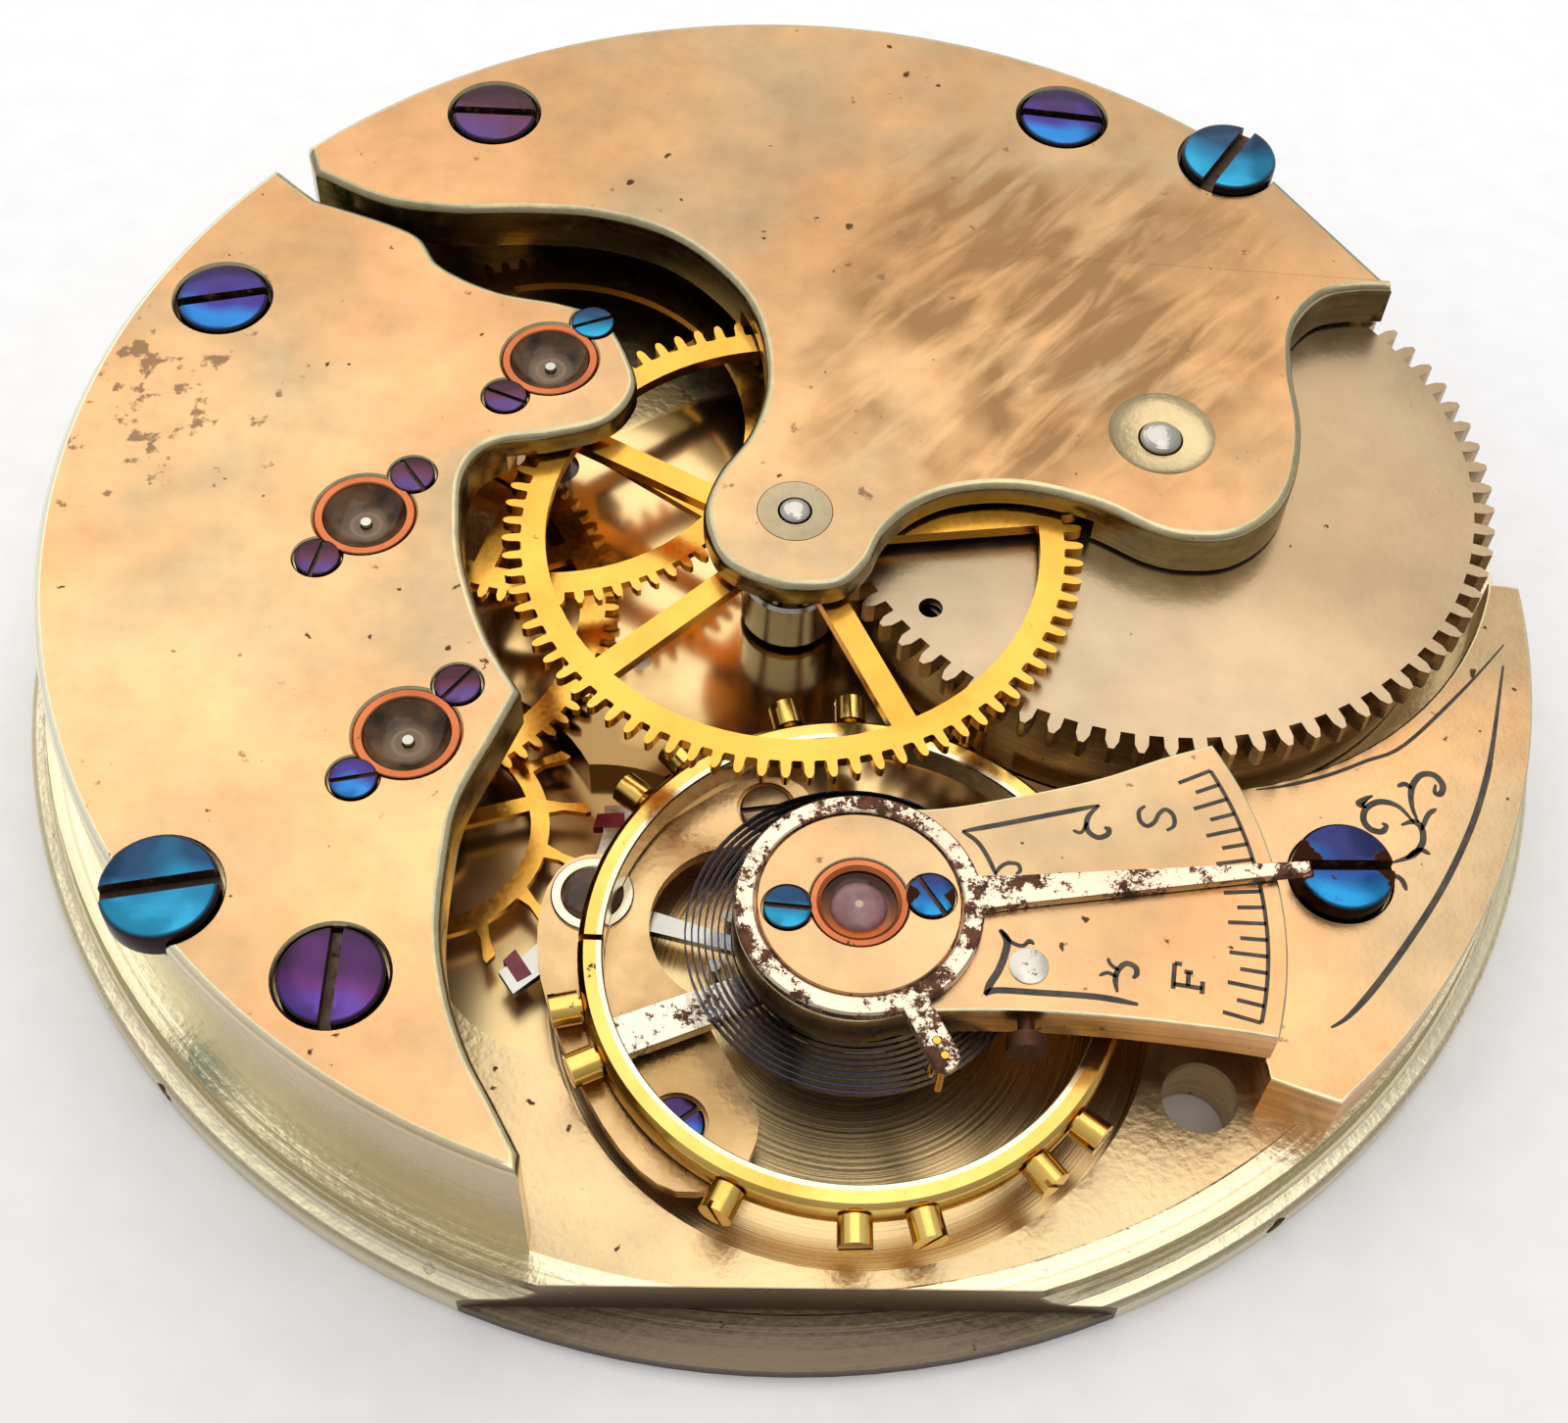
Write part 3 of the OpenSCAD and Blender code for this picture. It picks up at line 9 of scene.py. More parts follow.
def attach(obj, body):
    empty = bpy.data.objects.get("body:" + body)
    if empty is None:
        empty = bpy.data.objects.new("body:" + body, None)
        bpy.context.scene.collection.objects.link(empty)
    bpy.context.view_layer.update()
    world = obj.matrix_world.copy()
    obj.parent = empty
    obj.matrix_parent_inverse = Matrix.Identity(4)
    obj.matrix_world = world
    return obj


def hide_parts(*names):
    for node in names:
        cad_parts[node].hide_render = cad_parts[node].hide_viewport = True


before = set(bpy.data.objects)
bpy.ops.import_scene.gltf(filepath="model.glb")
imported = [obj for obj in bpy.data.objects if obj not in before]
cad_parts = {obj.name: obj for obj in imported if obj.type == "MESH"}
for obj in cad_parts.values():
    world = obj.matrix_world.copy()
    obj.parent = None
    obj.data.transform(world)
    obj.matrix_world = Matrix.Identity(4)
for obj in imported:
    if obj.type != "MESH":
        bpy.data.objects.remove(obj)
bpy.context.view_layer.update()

# Bench
# The movement lies dial side down on white card, lit by a window behind it and a soft ceiling light.
# The camera looks down on the balance side, tilted as in the photograph.
MM = 0.001
flange_r = 18.2
view_tilt = 0.9748
view_roll = 0.0659
view_distance = 3.0414 * flange_r
view_aim = Vector((0.0028 * flange_r, -0.0969 * flange_r, 0))
film_width = 36
photo_width_px = 1600
focal_length_px = 2304

back = Vector((0, -math.cos(view_tilt), math.sin(view_tilt)))
level_up = Vector((0, math.sin(view_tilt), math.cos(view_tilt)))
level_right = Vector((1, 0, 0))
right = level_right * math.cos(view_roll) + level_up * math.sin(view_roll)
up = level_up * math.cos(view_roll) - level_right * math.sin(view_roll)
camera_data = bpy.data.cameras.new("camera")
camera_data.sensor_width = film_width
camera_data.lens = film_width * focal_length_px / photo_width_px
camera_data.clip_start = 0.001
camera_data.clip_end = 10
camera = bpy.data.objects.new("camera", camera_data)
bpy.context.scene.collection.objects.link(camera)
camera.matrix_world = Matrix.Translation((view_aim + back * view_distance) * MM) @ Matrix(
    (right, up, back)).transposed().to_4x4()
bpy.context.scene.camera = camera
bpy.context.scene.view_settings.view_transform = "Standard"


def feed(socket, value):
    """Joins an output to a socket, or sets the socket to a fixed value."""
    if hasattr(value, "is_output"):
        socket.id_data.links.new(value, socket)
    elif socket.type == "RGBA":
        socket.default_value = (*value, 1)
    else:
        socket.default_value = value


def add(kind, inputs, **settings):
    """Adds a node to the tree of the outputs that feed it."""
    tree = [value for value in inputs.values() if hasattr(value, "is_output")][0].id_data
    node = tree.nodes.new("ShaderNode" + kind)
    for key, value in settings.items():
        setattr(node, key, value)
    for key, value in inputs.items():
        feed(node.inputs[key], value)
    return node


def new_material(name):
    """An empty material with its shader and its object coordinates."""
    material = bpy.data.materials.new(name)
    material.use_nodes = True
    nodes = material.node_tree.nodes
    return material, nodes["Principled BSDF"], nodes.new("ShaderNodeTexCoord").outputs["Object"]


def calc(way, *values):
    return add("Math", dict(enumerate(values)), operation=way).outputs["Value"]


def vector(way, *values, out="Vector"):
    return add("VectorMath", dict(enumerate(values)), operation=way).outputs[out]


def axis(place, letter):
    return add("SeparateXYZ", {0: place}).outputs[letter]


def fit(value, low, high, start=0.0, end=1.0):
    """Maps the range from low to high onto the range from start to end, and stops at its ends."""
    return add("MapRange", {"Value": value, "From Min": low, "From Max": high, "To Min": start,
                            "To Max": end}).outputs["Result"]


def noise(at, scale, detail, rough=0.5):
    return add("TexNoise", {"Vector": at, "Scale": scale, "Detail": detail,
                            "Roughness": rough}).outputs["Fac"]


def ramp(value, stops):
    """A colour ramp through the stops, each a position and a colour."""
    node = add("ValToRGB", {"Fac": value})
    while len(node.color_ramp.elements) < len(stops):
        node.color_ramp.elements.new(0.5)
    for element, (position, colour) in zip(node.color_ramp.elements, stops):
        element.position = position
        element.color = (*colour, 1)
    return node.outputs["Color"]


def blend(amount, first, second, way="MIX"):
    """The first colour, covered by the second as far as the amount says."""
    return add("MixRGB", {"Fac": amount, "Color1": first, "Color2": second},
               blend_type=way).outputs["Color"]


def surface(shader, colour, rough, height, depth, strength=0.4, metal=1.0):
    """Joins a finished pattern to the shader."""
    bump = add("Bump", {"Height": height, "Distance": depth, "Strength": strength})
    for key, value in (("Base Color", colour), ("Roughness", rough), ("Metallic", metal),
                       ("Normal", bump.outputs["Normal"])):
        feed(shader.inputs[key], value)


card, shader, place = new_material("white_card")
grain = noise(place, 900.0, 3.0)
fleck = ramp(grain, [(0.3, (0.96, 0.96, 0.96)), (0.7, (1.0, 1.0, 1.0))])
# Painted shade: the card is painted darker and warmer towards the front, where less light reaches it.
shade_front_to_back = fit(axis(place, "Y"), -0.030, 0.022)
tone = ramp(shade_front_to_back, [(0.0, (0.88, 0.845, 0.83)), (1.0, (0.97, 0.97, 0.97))])
surface(shader, blend(1.0, tone, fleck, "MULTIPLY"), 0.9, grain, 0.00002, 0.3, 0.0)
bpy.ops.object.select_all(action="DESELECT")
bpy.ops.mesh.primitive_plane_add(size=1.6, location=(0, 0, -0.00002))
floor = bpy.context.object
floor.name = "card_floor"
floor.data.materials.append(card)

world = bpy.data.worlds.new("room")
bpy.context.scene.world = world
world.use_nodes = True
nodes = world.node_tree.nodes
facing = vector("DOT_PRODUCT", nodes.new("ShaderNodeTexCoord").outputs["Generated"],
                (-0.25, 0.55, 0.80), out="Value")
sky = nodes["Background"]
feed(sky.inputs["Color"], ramp(fit(facing, -0.4, 1.0), [
    (0.0, (0.42, 0.41, 0.41)), (1.0, (0.95, 0.97, 1.0))]))
sky.inputs["Strength"].default_value = 0.95
white = nodes.new("ShaderNodeBackground")
seen = add("MixShader", {"Fac": nodes.new("ShaderNodeLightPath").outputs["Is Camera Ray"],
                         1: sky.outputs["Background"], 2: white.outputs["Background"]})
feed(nodes["World Output"].inputs["Surface"], seen.outputs["Shader"])


def soft_lamp(name, size, power, place, colour):
    """A square soft light that shines at the middle of the movement."""
    data = bpy.data.lights.new(name, "AREA")
    data.shape = "SQUARE"
    data.size = size
    data.energy = power
    data.color = colour
    lamp = bpy.data.objects.new(name, data)
    lamp.location = place
    lamp.rotation_euler = (-Vector(place)).to_track_quat("-Z", "Y").to_euler()
    bpy.context.scene.collection.objects.link(lamp)


soft_lamp("window_light", 0.46, 0.66, (-0.05, 0.28, 0.36), (1.0, 0.97, 0.93))
soft_lamp("ceiling_light", 0.30, 0.34, (0.10, -0.02, 0.50), (1.0, 0.98, 0.96))

# Pillar plate
# The pillar plate is nickel silver, turned on the lathe and frosted, with a flange that seats in the
# case, a flat milled beside the balance and recesses for the barrel, the escapement and the balance.
balance_at = (1.867, -9.798)
flat_angle = math.radians(-86.8)
flat_at = 16.9
# Middle of the dark brown painted shade beside the escapement.
painted_shade_at = (-4.0, -5.2)


def both(first, second):
    return calc("MULTIPLY", first, second)


def band(value, low, high, soft):
    """1 where the value lies between low and high, falling to 0 within the soft margin."""
    return both(fit(value, low - soft, low), fit(value, high + soft, high))


def distance_to(place, at):
    """How far a point is from an upright axis, in metres."""
    near = vector("SUBTRACT", place, (at[0] * MM, at[1] * MM, 0))
    return vector("LENGTH", vector("MULTIPLY", near, (1, 1, 0)), out="Value")


def nickel(name, warm, cool, stain, gloss, cloud, spots, grain, depth, seed, detail=None):
    """Nickel plate gone yellow with age: clouds of colour, ragged brown spots, a fine grain and, on
    the walls, the rings left by the lathe. Its colour is painted darker towards the back, as painted shade."""
    material, shader, place = new_material(name)
    moved = add("Mapping", {"Vector": place, "Location": (seed * 0.37, seed * 0.11, seed * 0.23)})
    moved = moved.outputs["Vector"]
    colour = ramp(noise(moved, cloud, 4.0, 0.55), [(0.40, cool), (0.60, warm)])
    fine = noise(moved, cloud * 9, 5.0, 0.6)
    flattened = add("Mapping", {"Vector": moved, "Scale": (0.02, 0.02, 1.0)}).outputs["Vector"]
    rings = noise(flattened, 9000.0, 3.0)
    shade = both(fit(fine, 0.3, 0.7, 0.84, 1.08), fit(rings, 0.35, 0.65, 0.80, 1.10))
    # Painted shade: the colour is darkened towards the back, falling to 0.62 at 14 mm.
    shade = both(shade, fit(axis(place, "Y"), -0.002, 0.014, 1.0, 0.62))
    colour = blend(1.0, colour, shade, "MULTIPLY")
    ragged = add("TexNoise", {"Vector": moved, "Scale": 5000.0, "Detail": 3.0}).outputs["Color"]
    shift = vector("SUBTRACT", ragged, (0.5, 0.5, 0.5))
    frayed = vector("ADD", moved, vector("MULTIPLY", shift, (0.0003, 0.0003, 0.0003)))
    pits = add("TexVoronoi", {"Vector": frayed, "Scale": 2300.0})
    chance = add("SeparateColor", {0: pits.outputs["Color"]}).outputs["Red"]
    crowd = fit(noise(moved, 170.0, 2.0), 0.5, 0.72, 0.07 + spots, 0.12 + spots * 9)
    inside = calc("SUBTRACT", calc("SUBTRACT", crowd, chance), pits.outputs["Distance"])
    pitted = fit(inside, -0.04, 0.03, 0.0, 0.85)
    colour = blend(pitted, colour, stain)
    rough = calc("MAXIMUM", fit(fine, 0.25, 0.75, gloss - 0.05, gloss + 0.10), pitted)
    height = calc("ADD", calc("SUBTRACT", noise(moved, grain, 2.0), pitted), rings)
    if detail:
        colour, rough, height = detail(place, colour, rough, height)
    surface(shader, colour, rough, height, depth, 0.7)
    return material


def circled(distance, scale):
    """Fine circles round an axis, as a cutter leaves them."""
    return noise(add("CombineXYZ", {0: distance}).outputs["Vector"], scale, 3.0)


def plate_finish_and_shade(place, colour, rough, height):
    """The floors of the recesses are turned bright, the floor under the centre wheel is polished, a dark
    brown painted shade lies beside the escapement, the rim is grey and the flange at the milled flat is
    painted near black."""
    level = axis(place, "Z")
    from_middle = distance_to(place, (0, 0))
    from_staff = distance_to(place, balance_at)
    floors = both(band(level, 0.0008, 0.00135, 0.0001), band(from_middle, -1, 0.0168, 0.0002))
    in_well = band(from_staff, -1, 0.0067, 0.00005)
    circles = fit(in_well, 0, 1, 0.5, circled(from_staff, 14000.0))
    gold = ramp(circles, [(0.35, (0.58, 0.41, 0.19)), (0.65, (0.72, 0.53, 0.27))])
    colour = blend(floors, colour, gold)
    rough = fit(floors, 0, 1, rough, fit(circles, 0.3, 0.7, 0.20, 0.32))
    height = fit(floors, 0, 1, height, both(circles, 0.5))
    under_wheel = both(band(from_middle, -1, 0.0071, 0.0003), band(level, 0.0009, 1, 0.00005))
    colour = blend(under_wheel, colour, (0.72, 0.50, 0.23))
    rough = fit(under_wheel, 0, 1, rough, 0.15)
    height = fit(under_wheel, 0, 1, height, 0.5)
    # Painted shade: beside the escapement the plate is painted dark brown, where the wheels shade it.
    smear = both(noise(place, 420.0, 3.0), 0.005)
    from_fork = calc("ADD", distance_to(place, painted_shade_at), smear)
    painted_shade_mask = both(fit(from_fork, 0.0067, 0.0046, 0, 0.85), band(level, 0, 0.0017, 0.00005))
    colour = blend(painted_shade_mask, colour, (0.20, 0.105, 0.032))
    rim = band(from_middle, 0.01704, 1, 0.00004)
    grooves = circled(from_middle, 6000.0)
    grey = ramp(grooves, [(0.35, (0.50, 0.46, 0.31)), (0.62, (0.85, 0.79, 0.56))])
    colour = blend(both(rim, 0.75), colour, grey)
    rough = fit(rim, 0, 1, rough, 0.24)
    height = calc("ADD", height, both(rim, grooves))
    # Painted shade: where the flange juts out at the milled flat, by the card, it is painted near black,
    # partly for the rough milled metal and partly as shade; the face above it is given a lighter warm
    # colour.
    outward = vector("DOT_PRODUCT", place, (math.cos(flat_angle), math.sin(flat_angle), 0), out="Value")
    milled = band(outward, (flat_at - 0.02) * MM, 1, 0.00001)
    dull = ramp(level, [(0.00074, (0.09, 0.066, 0.044)), (0.00078, (0.95, 0.74, 0.50))])
    return blend(milled, colour, dull), fit(milled, 0, 1, rough, 0.42), height


def metal_on(piece, *metals):
    piece.data.materials.clear()
    for metal in metals:
        piece.data.materials.append(metal)


def dress(metal, *nodes):
    """Gives CAD pieces that keep their shape their metal."""
    for node in nodes:
        metal_on(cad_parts[node], metal)


plate_nickel = nickel("plate_nickel", (0.73, 0.52, 0.27), (0.62, 0.48, 0.26), (0.16, 0.07, 0.03),
                      0.32, 150.0, 0.03, 5000.0, 0.000022, 1, plate_finish_and_shade)
dress(plate_nickel, "pillar_plate")

# Steel pieces
# Pinions, arbors, studs, click and winding wheels are hardened steel, turned or filed to shape. Those
# of the train and the escapement are polished; those under the dial have stained with age.


def rust_over(place, amount, scale):
    """Where rust has taken hold: patches made of small specks."""
    return fit(noise(place, scale, 7.0, 0.82), 0.66 - amount, 0.69 - amount)


def steel(name, base, gloss, rust=0.0, rust_scale=1500.0):
    """Polished steel, with rust in patches where the oil has gone."""
    material, shader, place = new_material(name)
    dark = tuple(c * 0.8 for c in base)
    colour = ramp(noise(place, 400.0, 3.0), [(0.35, dark), (0.65, base)])
    scratch = noise(place, 5000.0, 2.0)
    rough = fit(scratch, 0.3, 0.7, gloss * 0.8, gloss * 1.3)
    height, metal = scratch, 1.0
    if rust:
        eaten = rust_over(place, rust, rust_scale)
        brown = ramp(noise(place, 4000.0, 2.0), [
            (0.3, (0.05, 0.02, 0.012)), (0.7, (0.20, 0.075, 0.035))])
        colour = blend(eaten, colour, brown)
        rough = calc("MAXIMUM", rough, eaten)
        height = calc("ADD", height, eaten)
        metal = fit(eaten, 0, 1, 1.0, 0.25)
    surface(shader, colour, rough, height, 0.000006, metal=metal)
    return material


bright_steel = steel("bright_steel", (0.50, 0.48, 0.42), 0.18)
dress(bright_steel, "centre_pinion", "third_pinion", "fourth_pinion", "escape_pinion",
      "barrel_arbor", "pallet_fork", "pallet_staff", "balance_staff", "roller_table", "mainspring")
stained_steel = steel("stained_steel", (0.46, 0.43, 0.36), 0.24, 0.06)
dress(stained_steel, "minute_stud", "click_stud", "crown_core", "dial_foot_screws", "click",
      "click_spring", "crown_wheel", "winding_pinion", "ratchet_wheel", "cannon_pinion",
      "banking_pins")

# Wheels
# The wheels of the train and of the motion work are brass, crossed out, cut and gilt, and riveted to
# their pinions. The collet and the curb pins are turned from the same metal.


def gilt(name, base, deep, gloss, tarnish):
    """Gilt brass: bright on the flats, darker where it has tarnished."""
    material, shader, place = new_material(name)
    colour = ramp(noise(place, 350.0, 5.0, 0.6), [(0.30, deep), (0.60, base)])
    dull = rust_over(place, tarnish, 1100.0)
    line = noise(place, 7000.0, 2.0)
    rough = calc("MAXIMUM", fit(line, 0.3, 0.7, gloss * 0.8, gloss * 1.25), dull)
    surface(shader, blend(dull, colour, (0.22, 0.12, 0.04)), rough, line, 0.000004)
    return material


train_gilt = gilt("train_gilt", (0.78, 0.41, 0.075), (0.60, 0.30, 0.045), 0.20, 0.01)
dress(train_gilt, "third_wheel", "fourth_wheel", "escape_wheel", "minute_wheel", "hour_wheel",
      "hairspring_collet", "curb_pins")

# Jewels
# The pivots run in garnets and rubies, polished until they shine. The ones in the plate are pressed
# into it; the pallet stones and the roller jewel are set with shellac.


def jewel_glass(name, deep, pale, detail=None):
    """A jewel too dark to see through, polished until it shines."""
    material, shader, place = new_material(name)
    tone = noise(place, 1500.0, 3.0)
    colour = ramp(tone, [(0.35, deep), (0.68, pale)])
    if detail:
        colour = detail(place, colour)
    feed(shader.inputs["Base Color"], colour)
    feed(shader.inputs["Roughness"], fit(tone, 0, 1, 0.06, 0.16))
    shader.inputs["IOR"].default_value = 1.5
    shader.inputs["Specular IOR Level"].default_value = 0.3
    return material


dress(jewel_glass("pale_garnet", (0.22, 0.11, 0.09), (0.40, 0.23, 0.19)),
      "plate_jewels", "balance_hole_jewels")
dress(jewel_glass("red_ruby", (0.14, 0.010, 0.016), (0.30, 0.03, 0.05)),
      "pallet_stones", "roller_jewel")

# Barrel and centre bush
# The going barrel is nickel-plated brass with a fine-cut rim; its cover snaps in and has a small
# hole to pry it out by. The centre arbor's upper pivot runs in a nickel bush, pressed in flush.
barrel_nickel = nickel("barrel_nickel", (0.52, 0.36, 0.20), (0.45, 0.34, 0.215), (0.16, 0.09, 0.04),
                       0.25, 70.0, 0.004, 6000.0, 0.000005, 3)
dress(barrel_nickel, "barrel", "barrel_cover")
sink_nickel = nickel("sink_nickel", (0.40, 0.30, 0.16), (0.36, 0.29, 0.18), (0.16, 0.09, 0.04),
                     0.22, 300.0, 0.01, 7000.0, 0.000004, 5)
dress(sink_nickel, "centre_bush")

# Barrel bridge and train bridge
# Two nickel bridges stand on the plate along its rim, each on a wall and two pillars. Their tops are
# brushed and their edges chamfered and polished; screws hold them down through sunk holes.
plate_top, bridge_under, bridge_top = 1.6, 4.35, 5.6
bridge_r, wall_in, pillar_r = 17.05, 15.8, 1.55
wheel_room_r, wheel_room_top, barrel_room_r = 7.03, 4.95, 8.53
stem_r, stem_height = 0.84, 2.05
cut_from = 1
barrel_at = (8.547, 3.094)
third_at = (-6.099, 4.191)
fourth_at = (-9.740, -0.913)
escape_at = (-7.916, -6.734)
train_at = (third_at, fourth_at, escape_at)
bridge_screw_at = [(-14.2, 5.46), (-8.55, -12.56), (-8.5, 12.65), (6.33, 13.92)]
case_screw_at = [(-12.28, -10.92), (10.64, 12.62)]
setting_screw_at = [
    (-5.19, 5.46), (-7.01, 2.91), (-8.83, 0.33), (-10.59, -2.22), (-7.01, -5.41), (-8.86, -7.95)]
train_corners = (-4.28, -16.1), (-13.74, 10.1)
train_edge_upper = [
    (-12.56, 9.1), (-10, 8.19), (-9.1, 7.1), (-7.64, 6.37), (-6, 6.1), (-4.9, 5.64), (-4.1, 4.19),
    (-4, 3.28), (-4.55, 2.37), (-5.82, 1.82), (-7.1, 1.46), (-7.64, 0.55), (-7.55, -0.91), (-7.28, -2.18),
    (-6.55, -4), (-5.7, -5.35)]
train_edge_lower = [
    (-5.64, -5.46), (-6, -6.55), (-6.55, -8.19), (-6.64, -9.46), (-6.55, -11.28), (-6.19, -12.74),
    (-5.64, -14), (-4.95, -15.1), (-4.4, -16)]
barrel_corner, barrel_flat_end = (-13.1, 10.92), 47.6
barrel_edge = [
    (-12.74, 10.01), (-10.92, 9.19), (-9.1, 9.01), (-7.28, 9.19), (-5.46, 9.19), (-3.64, 8.65),
    (-2.18, 7.46), (-1.27, 6.01), (-0.91, 4), (-1.18, 2.37), (-1.82, 1.09), (-2.09, 0), (-1.91, -0.91),
    (-1.46, -1.64), (-0.55, -2.09), (0.4, -2.16), (1.2, -1.95), (1.75, -1.3), (2.1, -0.4), (2.8, 0.45),
    (3.82, 1), (5.28, 1.18), (6.92, 0.82), (8.19, 0.18), (9.1, 0), (10.19, 0.18), (11.1, 0.91), (11.65, 2),
    (11.92, 3.64), (11.83, 5.46), (12.01, 6.92), (12.74, 8.01), (13.65, 8.37), (14.56, 8.46)]
stain_at = (5.6, 7.3)
blots_at = (-16.2, 2.8)


def edge_painted_light(place, colour, rough, height):
    """The walls along the rim are painted pale and bright, brightest on the left, as a painted reflection
    of the lit card; the inner walls and chamfers keep the darker base colour, which is partly painted
    shade.
    """
    # Painted reflection: the outer walls are painted pale, most of all on the left.
    outer = band(distance_to(place, (0, 0)), 0.0169, 1, 0.00005)
    east = fit(axis(place, "X"), -0.0165, -0.0075)
    bright = ramp(east, [(0.0, (0.95, 0.91, 0.69)), (1.0, (0.66, 0.53, 0.33))])
    return blend(outer, colour, bright), rough, height


def bridge_finish(place, colour, rough, height):
    """A finger mark has eaten a brown, streaked patch into the barrel bridge; damp has left small
    brown blots, most of them at the rim of the train bridge."""
    along = add("Mapping", {"Vector": place, "Rotation": (0, 0, -0.85)}).outputs["Vector"]
    along = add("Mapping", {"Vector": along, "Scale": (1.0, 4.5, 1.0)}).outputs["Vector"]
    streaks = add("TexNoise", {"Vector": along, "Scale": 330.0, "Detail": 4.0, "Distortion": 0.6})
    wander = both(noise(place, 260.0, 3.0), 0.012)
    away = calc("ADD", distance_to(place, stain_at), wander)
    patch = fit(away, 0.0125, 0.0095)
    streaked = fit(streaks.outputs["Fac"], 0.36, 0.56, 0.35, 1.0)
    colour = blend(both(patch, streaked), colour, (0.235, 0.125, 0.05))
    crowded = fit(distance_to(place, blots_at), 0.0055, 0.0010, 0, 0.16)
    blots = calc("ADD", noise(place, 1500.0, 3.0, 0.6), crowded)
    colour = blend(fit(blots, 0.70, 0.75, 0, 0.85), colour, (0.17, 0.10, 0.05))
    return colour, fit(patch, 0, 1, rough, 0.24), height


# The darker base colour of the inner walls and chamfers is partly painted shade.
edge_nickel = nickel("edge_nickel", (0.58, 0.48, 0.27), (0.50, 0.44, 0.27), (0.20, 0.12, 0.06),
                     0.20, 300.0, 0.01, 7000.0, 0.000005, 2, edge_painted_light)
bridge_nickel = nickel("bridge_nickel", (0.77, 0.42, 0.188), (0.57, 0.395, 0.21), (0.15, 0.07, 0.03),
                       0.28, 130.0, 0.03, 8000.0, 0.000006, 4, bridge_finish)


def polar(r, degrees, at=(0, 0)):
    """The point at a distance and a direction from an axis."""
    return (at[0] + r * math.cos(math.radians(degrees)), at[1] + r * math.sin(math.radians(degrees)))


def heading(point):
    return math.degrees(math.atan2(point[1], point[0]))


def arc(r, start, stop, steps, at=(0, 0)):
    """Points along a round edge."""
    return [polar(r, start + (stop - start) * i / steps, at) for i in range(steps + 1)]


def smooth(points, steps):
    """A smooth edge through the marked points."""
    last, made = len(points) - 1, []
    for i in range(last):
        a, b, c, d = (Vector(points[max(0, min(i + step, last))]) for step in (-1, 0, 1, 2))
        for t in (s / steps for s in range(steps)):
            made.append(tuple(0.5 * (2 * b + (c - a) * t + (2 * a - 5 * b + 4 * c - d) * t * t
                                     + (3 * b - a - 3 * c + d) * t ** 3)))
    return made + [tuple(points[-1])]


def pick(piece):
    bpy.ops.object.select_all(action="DESELECT")
    piece.select_set(True)
    bpy.context.view_layer.objects.active = piece


def drawn(name, points, fill="NOTHING"):
    """A closed line through the points, filled or not, all selected in edit mode."""
    bpy.ops.object.select_all(action="DESELECT")
    bpy.ops.mesh.primitive_circle_add(vertices=len(points), radius=1, fill_type=fill)
    piece = bpy.context.object
    piece.name = name
    for vertex, point in zip(piece.data.vertices, points):
        vertex.co = point
    bpy.ops.object.mode_set(mode="EDIT")
    bpy.ops.mesh.select_all(action="SELECT")
    return piece


def open_up(piece):
    """Takes the edge from the last point back to the first out of a drawn line."""
    mesh = bmesh.from_edit_mesh(piece.data)
    mesh.verts.ensure_lookup_table()
    closing = mesh.edges.get((mesh.verts[0], mesh.verts[len(mesh.verts) - 1]))
    bpy.ops.mesh.select_all(action="DESELECT")
    closing.select = True
    bmesh.update_edit_mesh(piece.data)
    bpy.ops.mesh.delete(type="EDGE")
    bpy.ops.mesh.select_all(action="SELECT")


def raised(height):
    """Draws the line or face up to a height, faces it outwards and leaves edit mode."""
    bpy.ops.mesh.extrude_region_move(TRANSFORM_OT_translate={"value": (0, 0, height)})
    faced_out()


def faced_out():
    bpy.ops.mesh.select_all(action="SELECT")
    bpy.ops.mesh.normals_make_consistent(inside=False)
    bpy.ops.object.mode_set(mode="OBJECT")


def sheet_blank(name, outline, low, high, *metals):
    """A sheet cut to the outline and as thick as from low to high."""
    piece = drawn(name, [(x, y, low) for x, y in outline], "NGON")
    raised(high - low)
    metal_on(piece, *metals)
    return piece


def turned(name, profile, at=(0, 0), steps=64, *metals):
    """A piece turned on the lathe: the profile's radii and heights, spun round its axis."""
    piece = drawn(name, [(at[0] + r, at[1], z) for r, z in profile])
    if profile[0][0] == 0 and profile[-1][0] == 0:
        open_up(piece)
    bpy.ops.mesh.spin(steps=steps, angle=math.tau, center=(at[0], at[1], 0), axis=(0, 0, 1))
    bpy.ops.mesh.select_all(action="SELECT")
    bpy.ops.mesh.remove_doubles(threshold=0.0005)
    faced_out()
    metal_on(piece, *metals)
    return piece


def rod(r, low, high, at=(0, 0), steps=48):
    return turned("rod", [(0, low), (r, low), (r, high), (0, high)], at, steps)


def combine(piece, other, way="DIFFERENCE"):
    """Cuts the other piece out of this one, or joins them, and drops the other."""
    modifier = piece.modifiers.new(way, "BOOLEAN")
    modifier.operation = way
    modifier.solver = "EXACT"
    modifier.material_mode = "TRANSFER"
    modifier.object = other
    pick(piece)
    bpy.ops.object.modifier_apply(modifier=modifier.name)
    bpy.data.objects.remove(other, do_unlink=True)


def cut(piece, cutter, metal):
    """Cuts a hollow whose walls have the metal."""
    metal_on(cutter, metal)
    combine(piece, cutter)


